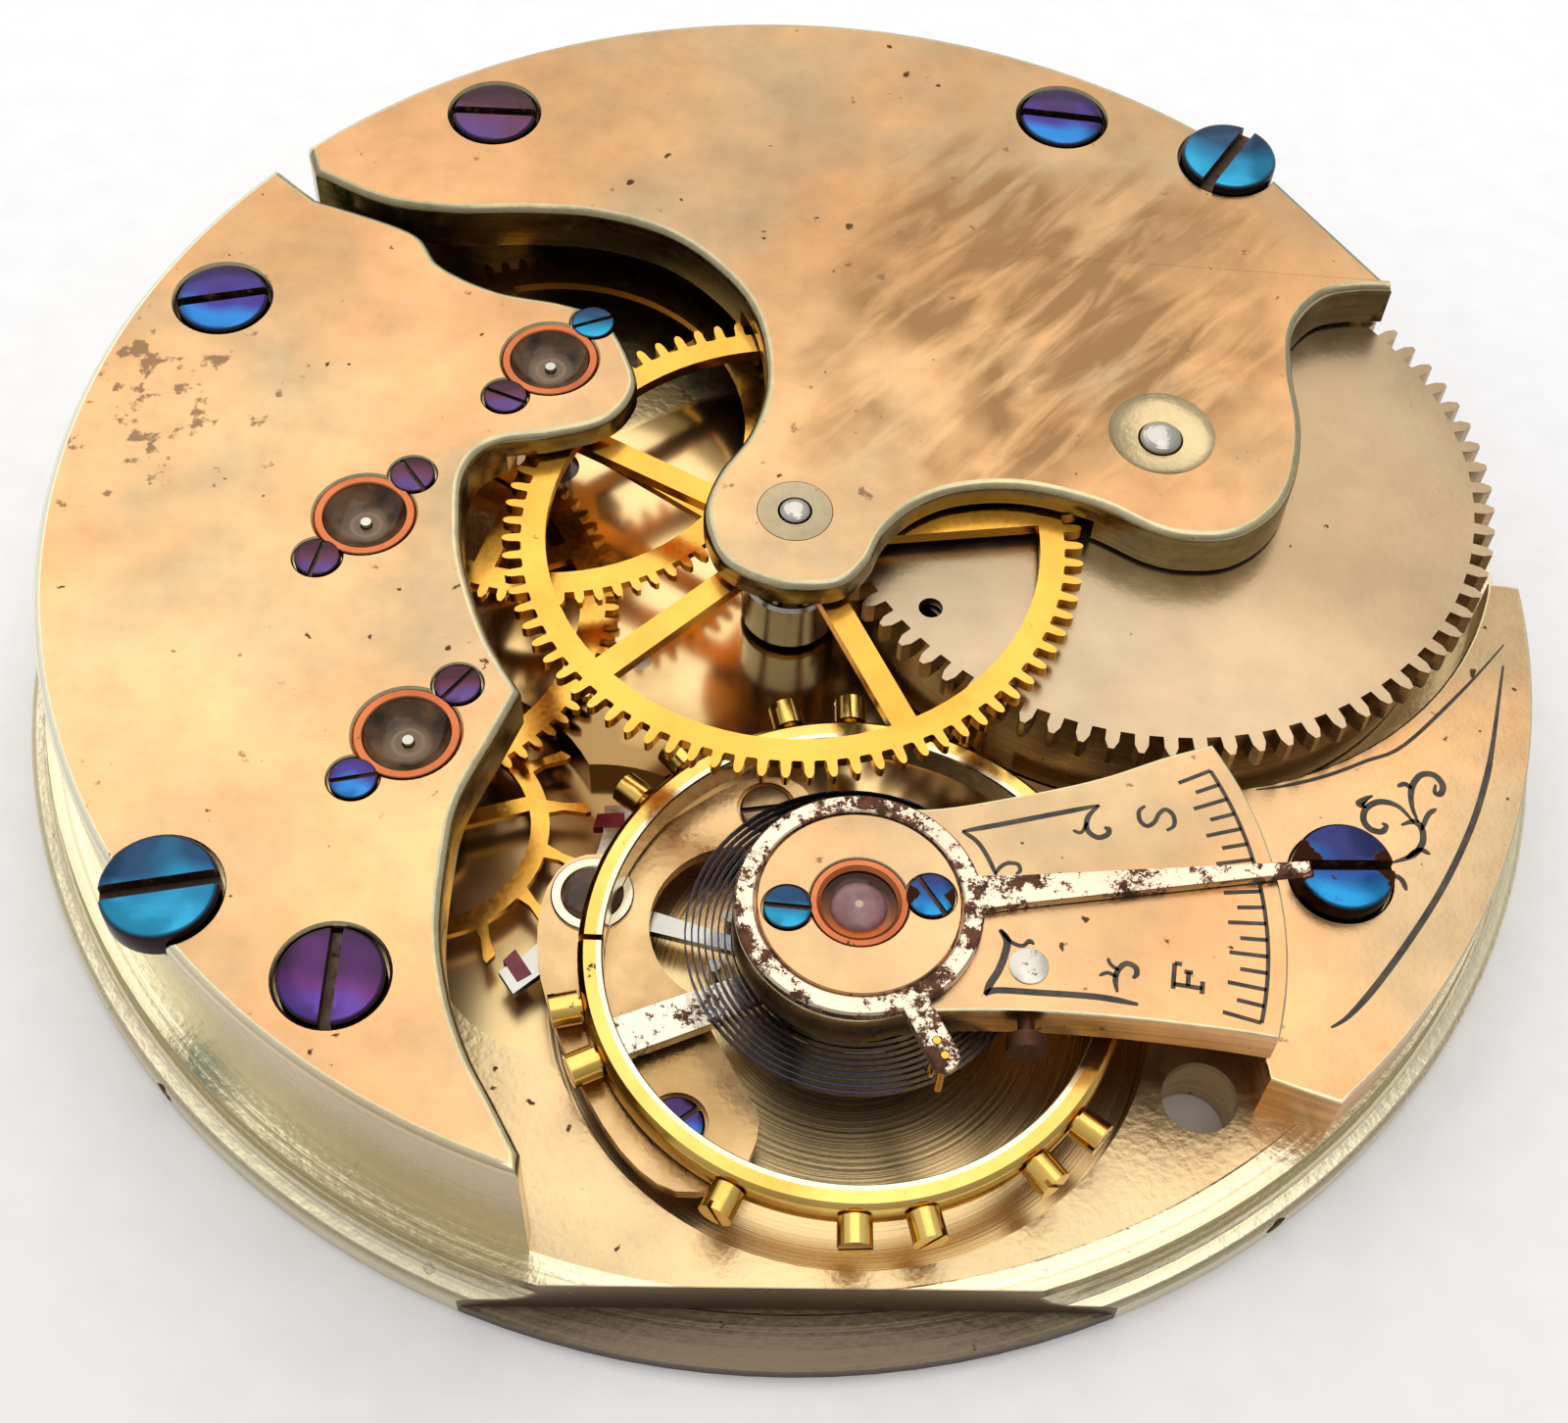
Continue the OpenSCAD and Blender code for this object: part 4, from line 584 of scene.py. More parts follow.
def chamfer(piece, width, above, segments=2, material=-1):
    """Breaks the sharp edges that lie above a height."""
    pick(piece)
    bpy.ops.object.mode_set(mode="EDIT")
    bpy.ops.mesh.select_mode(type="EDGE")
    bpy.ops.mesh.select_all(action="DESELECT")
    mesh = bmesh.from_edit_mesh(piece.data)
    for edge in mesh.edges:
        sharp = len(edge.link_faces) == 2 and edge.calc_face_angle() > 0.5
        edge.select = sharp and all(vertex.co.z > above for vertex in edge.verts)
    bmesh.update_edit_mesh(piece.data)
    bpy.ops.mesh.bevel(offset=width, segments=segments, profile=0.5, material=material,
                       clamp_overlap=False)
    bpy.ops.object.mode_set(mode="OBJECT")


def finished(piece, slot, *replaced, body="movement"):
    """Brings a piece to the frame's metres, smooths its round faces and fits it to its body."""
    piece.data.transform(Matrix.Scale(MM, 4))
    pick(piece)
    bpy.ops.object.shade_smooth_by_angle(angle=math.radians(35))
    flat_first = piece.modifiers.new("flat_first", "WEIGHTED_NORMAL")
    flat_first.keep_sharp = True
    bpy.ops.object.modifier_apply(modifier=flat_first.name)
    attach(piece, body)
    if replaced:
        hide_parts(*replaced)


def sink(piece, r, seat, top, at, lead, through=0, floor=0):
    """Sinks a screw hole with a polished lead-in at the top, and drills on down to the floor."""
    profile = [(0, floor), (through, floor), (through, seat)] if through else [(0, seat)]
    profile += [(r, seat), (r, top - lead), (r + lead, top), (r + lead, top + 1), (0, top + 1)]
    cut(piece, turned("cutter", profile, at, 48), edge_nickel)


def bridge(name, outline, pillars, barrel_gap):
    """Saws out a bridge, chamfers its upper edge, polishes its walls and mills away its underside."""
    piece = sheet_blank(name, outline, plate_top, bridge_top, bridge_nickel, edge_nickel)
    for face in piece.data.polygons:
        face.material_index = int(abs(face.normal.z) < 0.3)
    chamfer(piece, 0.20, bridge_top - 0.01, 3, 1)
    hollow = rod(wall_in, cut_from, bridge_under, steps=180)
    for at in pillars:
        combine(hollow, rod(pillar_r, 0.5, bridge_under + 0.5, at))
    cut(piece, hollow, plate_nickel)
    cut(piece, rod(wheel_room_r, 4, wheel_room_top, steps=96), plate_nickel)
    if barrel_gap:
        cut(piece, rod(barrel_room_r, cut_from, bridge_under, barrel_at, 128), plate_nickel)
    for at in pillars:
        sink(piece, 1.15, 4.95, bridge_top, at, 0.07, 0.5, cut_from)
    return piece


train_outline = (arc(bridge_r, heading(train_corners[0]), heading(train_corners[1]) - 360, 60)
                 + smooth(train_edge_upper, 9) + smooth(train_edge_lower, 9))
train_bridge = bridge("train_bridge_dressed", train_outline, bridge_screw_at[:2], False)
sink(train_bridge, 1.30, 5.15, bridge_top, case_screw_at[0], 0.02, 0.35, cut_from)
for at in train_at:
    sink(train_bridge, 1.15, 5.15, bridge_top, at, 0.06, 0.62, 2)
for at in setting_screw_at:
    sink(train_bridge, 0.55, 5.42, bridge_top, at, 0.04, 0.22, 4.9)
finished(train_bridge, "bridge_nickel", "train_bridge")

barrel_outline = arc(bridge_r, barrel_flat_end, heading(barrel_corner), 60) + smooth(barrel_edge, 9)
barrel_bridge = bridge("barrel_bridge_dressed", barrel_outline, bridge_screw_at[2:], True)
sink(barrel_bridge, 1.30, 5.15, bridge_top, case_screw_at[1], 0.02, 0.35, cut_from)
arbor_well = turned("cutter", [
    (0, 3), (0.54, 3), (0.54, bridge_top - 0.20), (0.98, bridge_top - 0.17), (1.16, bridge_top - 0.10),
    (1.27, bridge_top), (1.27, bridge_top + 1), (0, bridge_top + 1)], barrel_at, 64)
cut(barrel_bridge, arbor_well, plate_nickel)
sink(barrel_bridge, 0.86, 3, bridge_top, (0, 0), 0.02)
stem_way = rod(stem_r, 0, 10)
stem_way.data.transform(Matrix.Translation((0, 10, stem_height))
                        @ Matrix.Rotation(math.radians(-90), 4, "X"))
cut(barrel_bridge, stem_way, plate_nickel)
finished(barrel_bridge, "bridge_nickel", "barrel_bridge")

# Screws
# Every plate screw is steel, blued over a flame until it turned violet or blue. The heads are flat
# polished with a broken edge, and rust has crept into the slots of the ones that were turned often.
cock_screw_at = (12.5, -7.3)
pointer_angle = 9.4


def blued(name, far, middle, near, gloss=0.2, rust=0.0):
    """Flame-blued steel, its colour running from dark on the far side of each head to bright on the near
    side, with its broken edge painted black as painted shade. The head's own coordinates run from -1 to 1
    across it."""
    material, shader, place = new_material(name)
    head = material.node_tree.nodes.new("ShaderNodeUVMap")
    head.uv_map = "head"
    across = head.outputs["UV"]
    split = add("SeparateXYZ", {0: across})
    far_to_near = calc("ADD", calc("MULTIPLY", split.outputs["Y"], -0.42), noise(place, 700.0, 1.0))
    colour = ramp(far_to_near, [(0.30, far), (0.55, middle), (0.80, near)])
    # Painted shade: the broken edge of each head is painted near black.
    edge = fit(vector("LENGTH", across, out="Value"), 0.93, 0.985)
    colour = blend(edge, colour, (0.03, 0.018, 0.02))
    eaten = rust_over(place, rust, 2600.0)
    if rust > 0.04:
        lean = calc("SUBTRACT", calc("ABSOLUTE", split.outputs["X"]),
                    calc("ABSOLUTE", split.outputs["Y"]))
        crept = fit(calc("ADD", lean, noise(place, 2600.0, 4.0)), 0.84, 0.92)
        eaten = calc("MAXIMUM", eaten, crept)
    fine = noise(place, 6000.0, 3.0)
    rough = calc("MAXIMUM", fit(fine, 0.3, 0.7, gloss * 0.8, gloss * 1.3), eaten)
    surface(shader, blend(eaten, colour, (0.11, 0.04, 0.022)), rough, fine, 0.000003)
    return material


violet_steel = blued("violet_steel", (0.05, 0.022, 0.06), (0.10, 0.03, 0.12), (0.09, 0.045, 0.22),
                     rust=-0.02)
maroon_steel = blued("maroon_steel", (0.055, 0.022, 0.03), (0.10, 0.038, 0.065), (0.09, 0.05, 0.15),
                     0.22)
blue_steel = blued("blue_steel", (0.05, 0.025, 0.09), (0.05, 0.04, 0.20), (0.03, 0.16, 0.42))
cyan_steel = blued("cyan_steel", (0.02, 0.05, 0.10), (0.02, 0.15, 0.26), (0.03, 0.26, 0.42))
rusted_blue = blued("rusted_blue", (0.03, 0.035, 0.12), (0.02, 0.08, 0.24), (0.02, 0.20, 0.42), rust=0.05)
bronzed_steel = steel("bronzed_steel", (0.30, 0.20, 0.10), 0.3, 0.05)
slot_rust = steel("slot_rust", (0.09, 0.06, 0.045), 0.5, 0.12, 2500.0)


def block(name, low, high):
    """A square block between two corners, used as a cutter."""
    bpy.ops.object.select_all(action="DESELECT")
    bpy.ops.mesh.primitive_cube_add(size=1, location=(Vector(low) + Vector(high)) / 2)
    piece = bpy.context.object
    piece.name = name
    piece.scale = Vector(high) - Vector(low)
    bpy.ops.object.transform_apply(location=True, rotation=True, scale=True)
    return piece


def turn_about(piece, at, degrees):
    """Turns a piece about an upright axis, in its mesh."""
    centre = Matrix.Translation((at[0], at[1], 0))
    piece.data.transform(centre @ Matrix.Rotation(math.radians(degrees), 4, "Z") @ centre.inverted())


def joined(name, pieces):
    """Makes one piece of several."""
    pick(pieces[0])
    for other in pieces[1:]:
        other.select_set(True)
    if len(pieces) > 1:
        bpy.ops.object.join()
    pieces[0].name = name
    return pieces[0]


def from_balance(r, degrees):
    return polar(r, degrees, balance_at)


def slotted_screw(name, at, turn, colour, top, head_r, head_h, shank_r, shank_l, slot_w):
    """Turns a screw with a broken edge and saws its slot."""
    low = top - head_h
    edge = head_r * 0.09
    profile = [(0, low - shank_l), (shank_r, low - shank_l), (shank_r, low), (head_r, low),
               (head_r, top - edge), (head_r - edge * 0.35, top - edge * 0.35), (head_r - edge, top),
               (0, top)]
    piece = turned(name, profile, at, 48, colour)
    saw = block("saw", (at[0] - 2 * head_r, at[1] - slot_w / 2, top - head_h * 0.45),
                (at[0] + 2 * head_r, at[1] + slot_w / 2, top + 1))
    turn_about(saw, at, turn)
    cut(piece, saw, slot_rust)
    across = piece.data.uv_layers.get("head") or piece.data.uv_layers.new(name="head")
    for loop in piece.data.loops:
        corner = piece.data.vertices[loop.vertex_index].co
        across.data[loop.index].uv = ((corner.x - at[0]) / head_r, (corner.y - at[1]) / head_r)
    return piece


def set_of_screws(name, node, sizes, rows):
    """Makes each screw of a set, at its place and turned as it was left, and fits them as one."""
    made = [slotted_screw(f"{name}_{i}", *row, *sizes) for i, row in enumerate(rows)]
    finished(joined(name, made), "blued_steel", node)


set_of_screws("bridge_screws_blued", "bridge_screws", (5.65, 1.09, 0.7, 0.5, 4.2, 0.26), zip(
    bridge_screw_at, (16, 92, 2, -4), (blue_steel, violet_steel, maroon_steel, blue_steel)))
set_of_screws("case_screws_blued", "case_screws", (5.85, 1.22, 0.7, 0.35, 4.1, 0.34), zip(
    case_screw_at, (14, 60), (cyan_steel, cyan_steel)))
set_of_screws("cock_screw_blued", "cock_screw", (3.65, 1.10, 0.9, 0.5, 1.9, 0.26), [
    (cock_screw_at, 4, rusted_blue)])
set_of_screws("pallet_screws_blued", "pallet_bridge_screws", (2.17, 0.6, 0.18, 0.3, 1.3, 0.14), [
    ((-1.62, -13.7), 40, blue_steel), ((-0.2, -5.9), 12, bronzed_steel)])
set_of_screws("setting_screws_blued", "setting_screws", (5.62, 0.51, 0.2, 0.22, 0.4, 0.11), zip(
    setting_screw_at, (25, -20, -52, 80, 55, 15), [cyan_steel] + [maroon_steel] * 4 + [blue_steel]))
cap_screw_at = [from_balance(r, pointer_angle) for r in (1.5, -1.5)]
set_of_screws("cap_screws_blued", "cap_screws", (5.10, 0.51, 0.17, 0.22, 0.45, 0.12), zip(
    cap_screw_at, (-55, -2), (rusted_blue, cyan_steel)))

# Train jewels in their settings
# Each train jewel is a dark garnet cupped like a bowl, with a pivot hole in its middle. It is rubbed
# into a copper-red ring, which lies flush in the train bridge under the edges of its two screws.
bowl_r = 0.93
bowl_floor, bowl_rise = 5.19, 0.34
pivot_r = 0.14


def bowl_shade(place, colour):
    """Painted light and shade in the bowls: the wall is left dark, the cup round the pivot hole is painted
    lighter, and a lighter brown ring lies round the hole.
    """
    nearest = distance_to(place, third_at)
    for at in (fourth_at, escape_at):
        nearest = calc("MINIMUM", nearest, distance_to(place, at))
    # Painted light: the cup round the pivot hole is painted lighter than the dark wall.
    cup = both(fit(nearest, 0.00056, 0.00028), 0.6)
    colour = blend(cup, colour, (0.26, 0.17, 0.085))
    return blend(band(nearest, 0.00031, 0.00035, 0.00003), colour, (0.26, 0.15, 0.09))


copper_gilt = gilt("copper_gilt", (0.50, 0.15, 0.055), (0.32, 0.085, 0.035), 0.25, 0.02)
settings = joined("train_settings_dressed", [turned("setting", [
    (bowl_r, 5.16), (1.13, 5.16), (1.13, bridge_top - 0.04), (1.11, bridge_top - 0.02),
    (bowl_r + 0.03, bridge_top - 0.02), (bowl_r, bridge_top - 0.06)], at, 64, copper_gilt)
    for at in train_at])
finished(settings, "copper_gilt", "train_jewel_settings")
bowl_line = [(pivot_r + (bowl_r - 0.15) * i / 9, bowl_floor + bowl_rise * (i / 9) ** 3)
             for i in range(10)]
deep_garnet = jewel_glass("deep_garnet", (0.030, 0.014, 0.006), (0.15, 0.075, 0.032), bowl_shade)
bowls = joined("train_jewels_dressed", [turned(
    "jewel", [(pivot_r, 5.165)] + bowl_line + [(bowl_r - 0.01, 5.165)], at, 64, deep_garnet)
    for at in train_at])
finished(bowls, "ruby", "train_jewels")

# Pallet bridge
# The pallet staff's upper pivot runs under a small nickel bridge beside the balance recess, held by
# two screws. Its jewel is a garnet in a polished steel ring, pressed in from above.
pallet_at = (-3.899, -8.456)
pallet_top = 2.17
fork_nickel = nickel("fork_nickel", (0.70, 0.46, 0.22), (0.44, 0.27, 0.11), (0.16, 0.07, 0.03),
                     0.26, 240.0, 0.03, 7000.0, 0.000008, 6)
dress(fork_nickel, "pallet_bridge")
pallet_ring = turned("pallet_ring", [
    (0.66, pallet_top - 0.1), (0.92, pallet_top - 0.1), (0.92, pallet_top + 0.05),
    (0.89, pallet_top + 0.08), (0.70, pallet_top + 0.08), (0.66, pallet_top + 0.04)],
    pallet_at, 48, steel("ring_steel", (0.78, 0.68, 0.50), 0.18))
pallet_bowl = turned("pallet_bowl", [
    (pivot_r, pallet_top - 0.1), (pivot_r, pallet_top - 0.02), (0.30, pallet_top - 0.04),
    (0.52, pallet_top), (0.65, pallet_top + 0.05), (0.65, pallet_top - 0.1)],
    pallet_at, 48, jewel_glass("pallet_garnet", (0.06, 0.028, 0.016), (0.20, 0.10, 0.05)))
finished(joined("pallet_jewel_dressed", [pallet_ring, pallet_bowl]), "ruby", "pallet_jewel")

# Centre wheel
# Gilt brass with five arms, cut with eighty rounded teeth that drive the third wheel's pinion. It is
# riveted to the centre pinion, between the two bridges.
wheel_low, wheel_top = 4.5, 4.8
teeth = 80
first_tooth = 145.5
tooth = [(6.30, 0.60), (6.34, 0.46), (6.578, 0.40), (6.68, 0.29), (6.734, 0.12)]
pitch = 360 / teeth
arms, first_arm = 5, 10
rim_inner_r, hub_r, half_arm, arbor_r = 5.74, 1.25, 0.30, 0.62
tooth_line = [polar(r, first_tooth + (i + side * half / 2) * pitch) for i in range(teeth)
              for side, flank in ((-1, tooth), (1, tooth[::-1])) for r, half in flank]
centre_wheel = sheet_blank("centre_wheel_dressed", tooth_line, wheel_low, wheel_top, train_gilt)
outer, inner = (math.degrees(math.asin(half_arm / r)) for r in (rim_inner_r, hub_r))
for i in range(arms):
    low, high = first_arm + 360 / arms * i, first_arm + 360 / arms * (i + 1)
    window = sheet_blank("cutter", arc(rim_inner_r, low + outer, high - outer, 16)
                         + arc(hub_r, high - inner, low + inner, 6), wheel_low - 1, wheel_top + 1)
    cut(centre_wheel, window, train_gilt)
cut(centre_wheel, rod(arbor_r, 4, 5, steps=32), train_gilt)
finished(centre_wheel, "brass", "centre_wheel", body="centre_wheel")

# Centre pinion collar
# Below its leaves the centre pinion has a wide collar of polished steel, with both edges broken. It
# is screwed onto the arbor.
collar = turned("centre_pinion_collar", [
    (0.42, 1.8), (1.08, 1.8), (1.16, 1.88), (1.16, 3.2), (1.08, 3.28), (0.42, 3.28)],
    (0, 0), 64, bright_steel)
finished(collar, "steel", body="centre_wheel")

# Balance
# A cut balance: a steel arm and inner layer with brass fused round it, and gilt screws in the rim.
# The hairspring is a thin blued strip of many turns, pinned to a collet and to a stud in the cock.
rim_low, rim_top = 2.30, 3.05
rim_r, layer_r, rim_in = 5.90, 5.50, 5.36
saw_turn = 1.7
arm_low, arm_top, arm_angle = 2.45, 2.75, -154.5
spring_turns, spring_round = 21, 66
spring_in, spring_out, spring_end = 0.72, 3.64, -21.1
spring_low, spring_high = 3.45, 3.65
strip_width = 0.034
balance_gilt = gilt("balance_gilt", (0.80, 0.54, 0.15), (0.62, 0.38, 0.08), 0.18, 0.03)
dress(balance_gilt, "balance_screws")


def cut_rim(piece, metal):
    """Saws the rim through beside each end of the arm."""
    for turn in (saw_turn, saw_turn + 180):
        saw = block("saw", (balance_at[0] + rim_in - 0.3, balance_at[1] - 0.07, 1),
                    (balance_at[0] + rim_r + 0.3, balance_at[1] + 0.07, 4))
        turn_about(saw, balance_at, turn)
        cut(piece, saw, metal)


rim = turned("balance_rim_dressed", [
    (layer_r, rim_low), (rim_r - 0.04, rim_low), (rim_r, rim_low + 0.04), (rim_r, rim_top - 0.13),
    (rim_r - 0.03, rim_top - 0.08), (rim_r - 0.13, rim_top), (layer_r, rim_top)],
    balance_at, 160, balance_gilt)
cut_rim(rim, balance_gilt)
finished(rim, "brass", "balance_rim", body="balance")
arm_steel = steel("arm_steel", (0.78, 0.68, 0.52), 0.20, 0.12, 1000.0)
layer_steel = steel("layer_steel", (0.78, 0.70, 0.50), 0.16)
layer = turned("layer", [
    (rim_in, rim_low), (layer_r, rim_low), (layer_r, rim_top), (rim_in + 0.03, rim_top),
    (rim_in, rim_top - 0.04)], balance_at, 160, layer_steel)
cut_rim(layer, layer_steel)
arm = sheet_blank("balance_wheel_dressed", [
    from_balance(math.hypot(x, y), heading((x, y)) + arm_angle) for x, y in (
        (-5.42, -0.46), (-0.8, -0.42), (0.8, -0.42), (5.42, -0.46), (5.42, 0.46), (0.8, 0.42),
        (-0.8, 0.42), (-5.42, 0.46))], arm_low, arm_top, arm_steel)
chamfer(arm, 0.05, arm_top - 0.01)
hub_line = [(0, arm_low), (0.9, arm_low), (0.9, arm_top - 0.03), (0.87, arm_top), (0, arm_top)]
combine(arm, turned("hub", hub_line, balance_at, 48, arm_steel), "UNION")
cut(arm, rod(0.42, 2, 3, balance_at, 32), arm_steel)
combine(arm, layer, "UNION")
finished(arm, "steel", "balance_wheel", body="balance")


def spring_radius(turned_by):
    """The outer coil stays round past the curb pins and then winds in evenly."""
    wound = max(0, turned_by - spring_round) / (360 * spring_turns - spring_round)
    return spring_out - (spring_out - spring_in) * wound


hairspring = drawn("hairspring_blued", [
    (*from_balance(spring_radius(a), spring_end - a), spring_low)
    for a in range(0, 360 * spring_turns + 1, 6)])
open_up(hairspring)
raised(spring_high - spring_low)
strip = hairspring.modifiers.new("strip", "SOLIDIFY")
strip.thickness = strip_width
strip.offset = 0
pick(hairspring)
bpy.ops.object.modifier_apply(modifier=strip.name)
metal_on(hairspring, steel("spring_steel", (0.035, 0.038, 0.065), 0.26))
finished(hairspring, "spring_steel", "hairspring")

# Balance cock
# The cock carries the upper balance jewels. It is nickel, on a foot with one screw, and its raised
# table takes the regulator's scale; a boss round the jewels holds the regulator.
table_top, cock_under, foot_top, boss_top = 4.8, 3.85, 3.15, 5.04
table_r, disc_r, foot_r = 8.92, 2.6, 17.55
foot_reach = 8.454
table_outline = (arc(table_r, -15.4, 31.5, 24, balance_at)
                 + smooth([from_balance(table_r, 31.5), (8.4, -5.55), (6.98, -6.2), (5.26, -6.77),
                           (3.24, -7.28), from_balance(disc_r, 95)], 6)[1:]
                 + arc(disc_r + 0.02, 100, 275, 48, balance_at)
                 + smooth([from_balance(disc_r, 282), (3.3, -12.1), (5.26, -11.94),
                           (7.28, -11.94), (9.3, -12.05), from_balance(table_r, -15.4)], 6)[:-1])
foot_outline = (arc(foot_r, heading((12.05, -12.7)), 3.6, 48) + arc(foot_reach, -13, -84, 40, barrel_at)
                + [(9.75, -7), (10.35, -11), (10.62, -12.3)])

metals = bridge_nickel, edge_nickel
cock = sheet_blank("balance_cock_dressed", foot_outline, plate_top, foot_top, *metals)
chamfer(cock, 0.07, foot_top - 0.01, 2, 1)
table = sheet_blank("table", table_outline, cock_under, table_top, *metals)
chamfer(table, 0.06, table_top - 0.01, 2, 1)
riser = sheet_blank("riser", table_outline, plate_top + 0.2, cock_under + 0.2, *metals)
combine(riser, sheet_blank("limit", foot_outline, plate_top, table_top, *metals), "INTERSECT")
boss_line = [(0, table_top - 0.3), (2.14, table_top - 0.3), (2.14, boss_top - 0.04),
             (2.10, boss_top), (0, boss_top)]
for other in (riser, table, turned("boss", boss_line, balance_at, 96, *metals)):
    combine(cock, other, "UNION")
sink(cock, 1.14, 2.75, foot_top, cock_screw_at, 0.05, 0.5, cut_from)
sink(cock, 1.04, boss_top - 0.33, boss_top, balance_at, 0.03, 0.55, 4.45)
cut(cock, rod(0.33, 3, 5, balance_at, 32), bridge_nickel)
for at in cap_screw_at:
    sink(cock, 0.54, boss_top - 0.12, boss_top, at, 0.02, 0.22, 4.4)
finished(cock, "bridge_nickel", "balance_cock")

# Cap jewel
# Over the upper balance pivot lies a domed garnet endstone, set in a copper-red ring. The ring lies
# in the cock's boss, held by two small screws.
cap_low = 4.71
cap_ring = turned("cap_setting_dressed", [
    (0.86, cap_low), (1.03, cap_low), (1.03, boss_top - 0.05), (1.01, boss_top - 0.02),
    (0.89, boss_top - 0.02), (0.80, boss_top - 0.10), (0.80, cap_low + 0.06)],
    balance_at, 64, copper_gilt)
finished(cap_ring, "copper_gilt", "cap_setting")
dome = [(0.58 * math.sin(math.radians(a)), cap_low + 0.10 + 0.15 * math.cos(math.radians(a)))
        for a in range(90, -1, -15)]


def amber_rim(place, colour):
    """Round the dome the stone is painted bright orange at the front, fading to dark brown at the back, as
    painted light from the copper through the stone; a small pale painted highlight marks the pivot in the
    middle.
    """
    out = distance_to(place, balance_at)
    painted_glow_front = fit(axis(place, "Y"), (balance_at[1] - 0.7) * MM, (balance_at[1] + 0.5) * MM)
    amber = ramp(painted_glow_front, [
        (0.1, (0.62, 0.17, 0.035)), (0.45, (0.24, 0.07, 0.02)), (0.9, (0.06, 0.022, 0.01))])
    colour = blend(band(out, 0.00060, 1, 0.00003), colour, amber)
    # Painted highlight: a small pale spot in the middle of the dome stands for the pivot.
    return blend(band(out, -1, 0.00007, 0.00003), colour, (0.60, 0.40, 0.30))


endstone = turned("cap_jewel_dressed", [
    (0, cap_low), (0.79, cap_low), (0.79, cap_low + 0.15), (0.70, cap_low + 0.08),
    (0.60, cap_low + 0.06)] + dome, balance_at, 64,
    jewel_glass("rose_garnet", (0.17, 0.075, 0.075), (0.36, 0.19, 0.19), amber_rim))
finished(endstone, "ruby", "cap_jewels")

# Engraving
# The cock's scale, with S for slow and F for fast, and the borders and scrolls on its table and foot
# are cut with a graver and filled with black wax.
scale_r, scale_start, scale_sweep, scale_marks = 8.5, -14, 41.8, 17
s_at, s_turn = (8.16, -7.14), 88
f_at, f_turn, f_size = (8.67, -10.95), 84, 0.9
cut_depth, wax_rise = 0.02, 0.006
s_shape = [(0.28, 0.24), (0.14, 0.37), (-0.10, 0.35), (-0.22, 0.20), (-0.10, 0.04), (0.12, -0.06),
           (0.24, -0.20), (0.12, -0.36), (-0.14, -0.38), (-0.28, -0.22)]
f_shape = ([(-0.20, -0.33), (-0.20, 0.33)], [(-0.32, 0.33), (0.34, 0.33)], [(0.34, 0.33), (0.34, 0.16)],
           [(-0.20, 0.0), (0.16, 0.0)], [(-0.34, -0.33), (-0.02, -0.33)], [(0.16, 0.10), (0.16, -0.10)])
table_lines = [
    (0.12, [(4.0, -7.79), (4.86, -7.54), (5.85, -7.24), (6.94, -6.91)]),
    (0.12, [(6.94, -6.91), (6.72, -7.17), (6.65, -7.42), (6.71, -7.61), (6.9, -7.72), (7.1, -7.63),
        (7.13, -7.49), (7.03, -7.47)]),
    (0.08, [(6.67, -7.36), (6.54, -7.62), (6.36, -7.58)]),
    (0.10, [(4.0, -7.79), (4.31, -8.01), (4.55, -8.39), (4.73, -8.83)]),
    (0.09, [(4.71, -8.78), (4.81, -8.61), (4.97, -8.5), (5.18, -8.51), (5.23, -8.66), (5.14, -8.75)]),
    (0.16, [(4.8, -10.1), (4.95, -10.34), (4.91, -10.66), (4.78, -11.05), (4.61, -11.36), (4.5, -11.63)]),
    (0.14, [(4.5, -11.63), (4.73, -11.51), (5.6, -11.5), (6.8, -11.51), (7.62, -11.62)]),
    (0.09, [(4.82, -10.12), (5.03, -10.37), (5.27, -10.45), (5.41, -10.32), (5.51, -10.4)]),
    (0.12, [(7.2, -11.37), (7.17, -11.11), (7.23, -10.87), (7.4, -10.7), (7.59, -10.77), (7.61, -10.93),
        (7.53, -11.03)]),
    (0.08, [(7.2, -11.03), (7.02, -10.94), (6.84, -11.02)]),
    (0.08, [(7.03, -10.6), (7.08, -10.74), (7.25, -10.87)])]
foot_lines = [
    (0.09, [(10.77, -5.18), (11.48, -5.01), (12.39, -4.68), (13.33, -4.21), (14.27, -3.69), (15.83, -2.0),
        (16.93, -0.64)]),
    (0.15, [(16.83, -1.27), (16.31, -3.53), (16.0, -4.62), (15.52, -5.87), (14.77, -7.35), (13.91, -8.72),
        (13.02, -9.97), (12.39, -10.71), (11.99, -11.01)]),
    (0.15, [(13.7, -6.85), (14.16, -6.63), (14.41, -6.29), (14.43, -5.91), (14.27, -5.75), (13.98, -5.86)]),
    (0.12, [(14.0, -6.73), (14.32, -6.48), (14.55, -6.58)]),
    (0.12, [(14.42, -5.97), (14.61, -5.55), (14.82, -5.37)]),
    (0.15, [(14.37, -5.77), (14.27, -5.32), (14.32, -4.84), (14.56, -4.49), (14.86, -4.47),
        (15.03, -4.72), (14.96, -4.96), (14.83, -4.93), (14.87, -4.72)]),
    (0.12, [(14.32, -4.88), (14.17, -4.76), (13.99, -4.84)]),
    (0.15, [(14.28, -5.79), (13.97, -5.38), (13.56, -5.28), (13.23, -5.48), (13.14, -5.79),
        (13.27, -6.02), (13.52, -6.07), (13.64, -5.91), (13.54, -5.85)]),
    (0.12, [(13.24, -5.46), (13.05, -5.35), (13.41, -5.13)]),
    (0.12, [(13.64, -7.17), (13.84, -7.27), (13.93, -7.55)])]

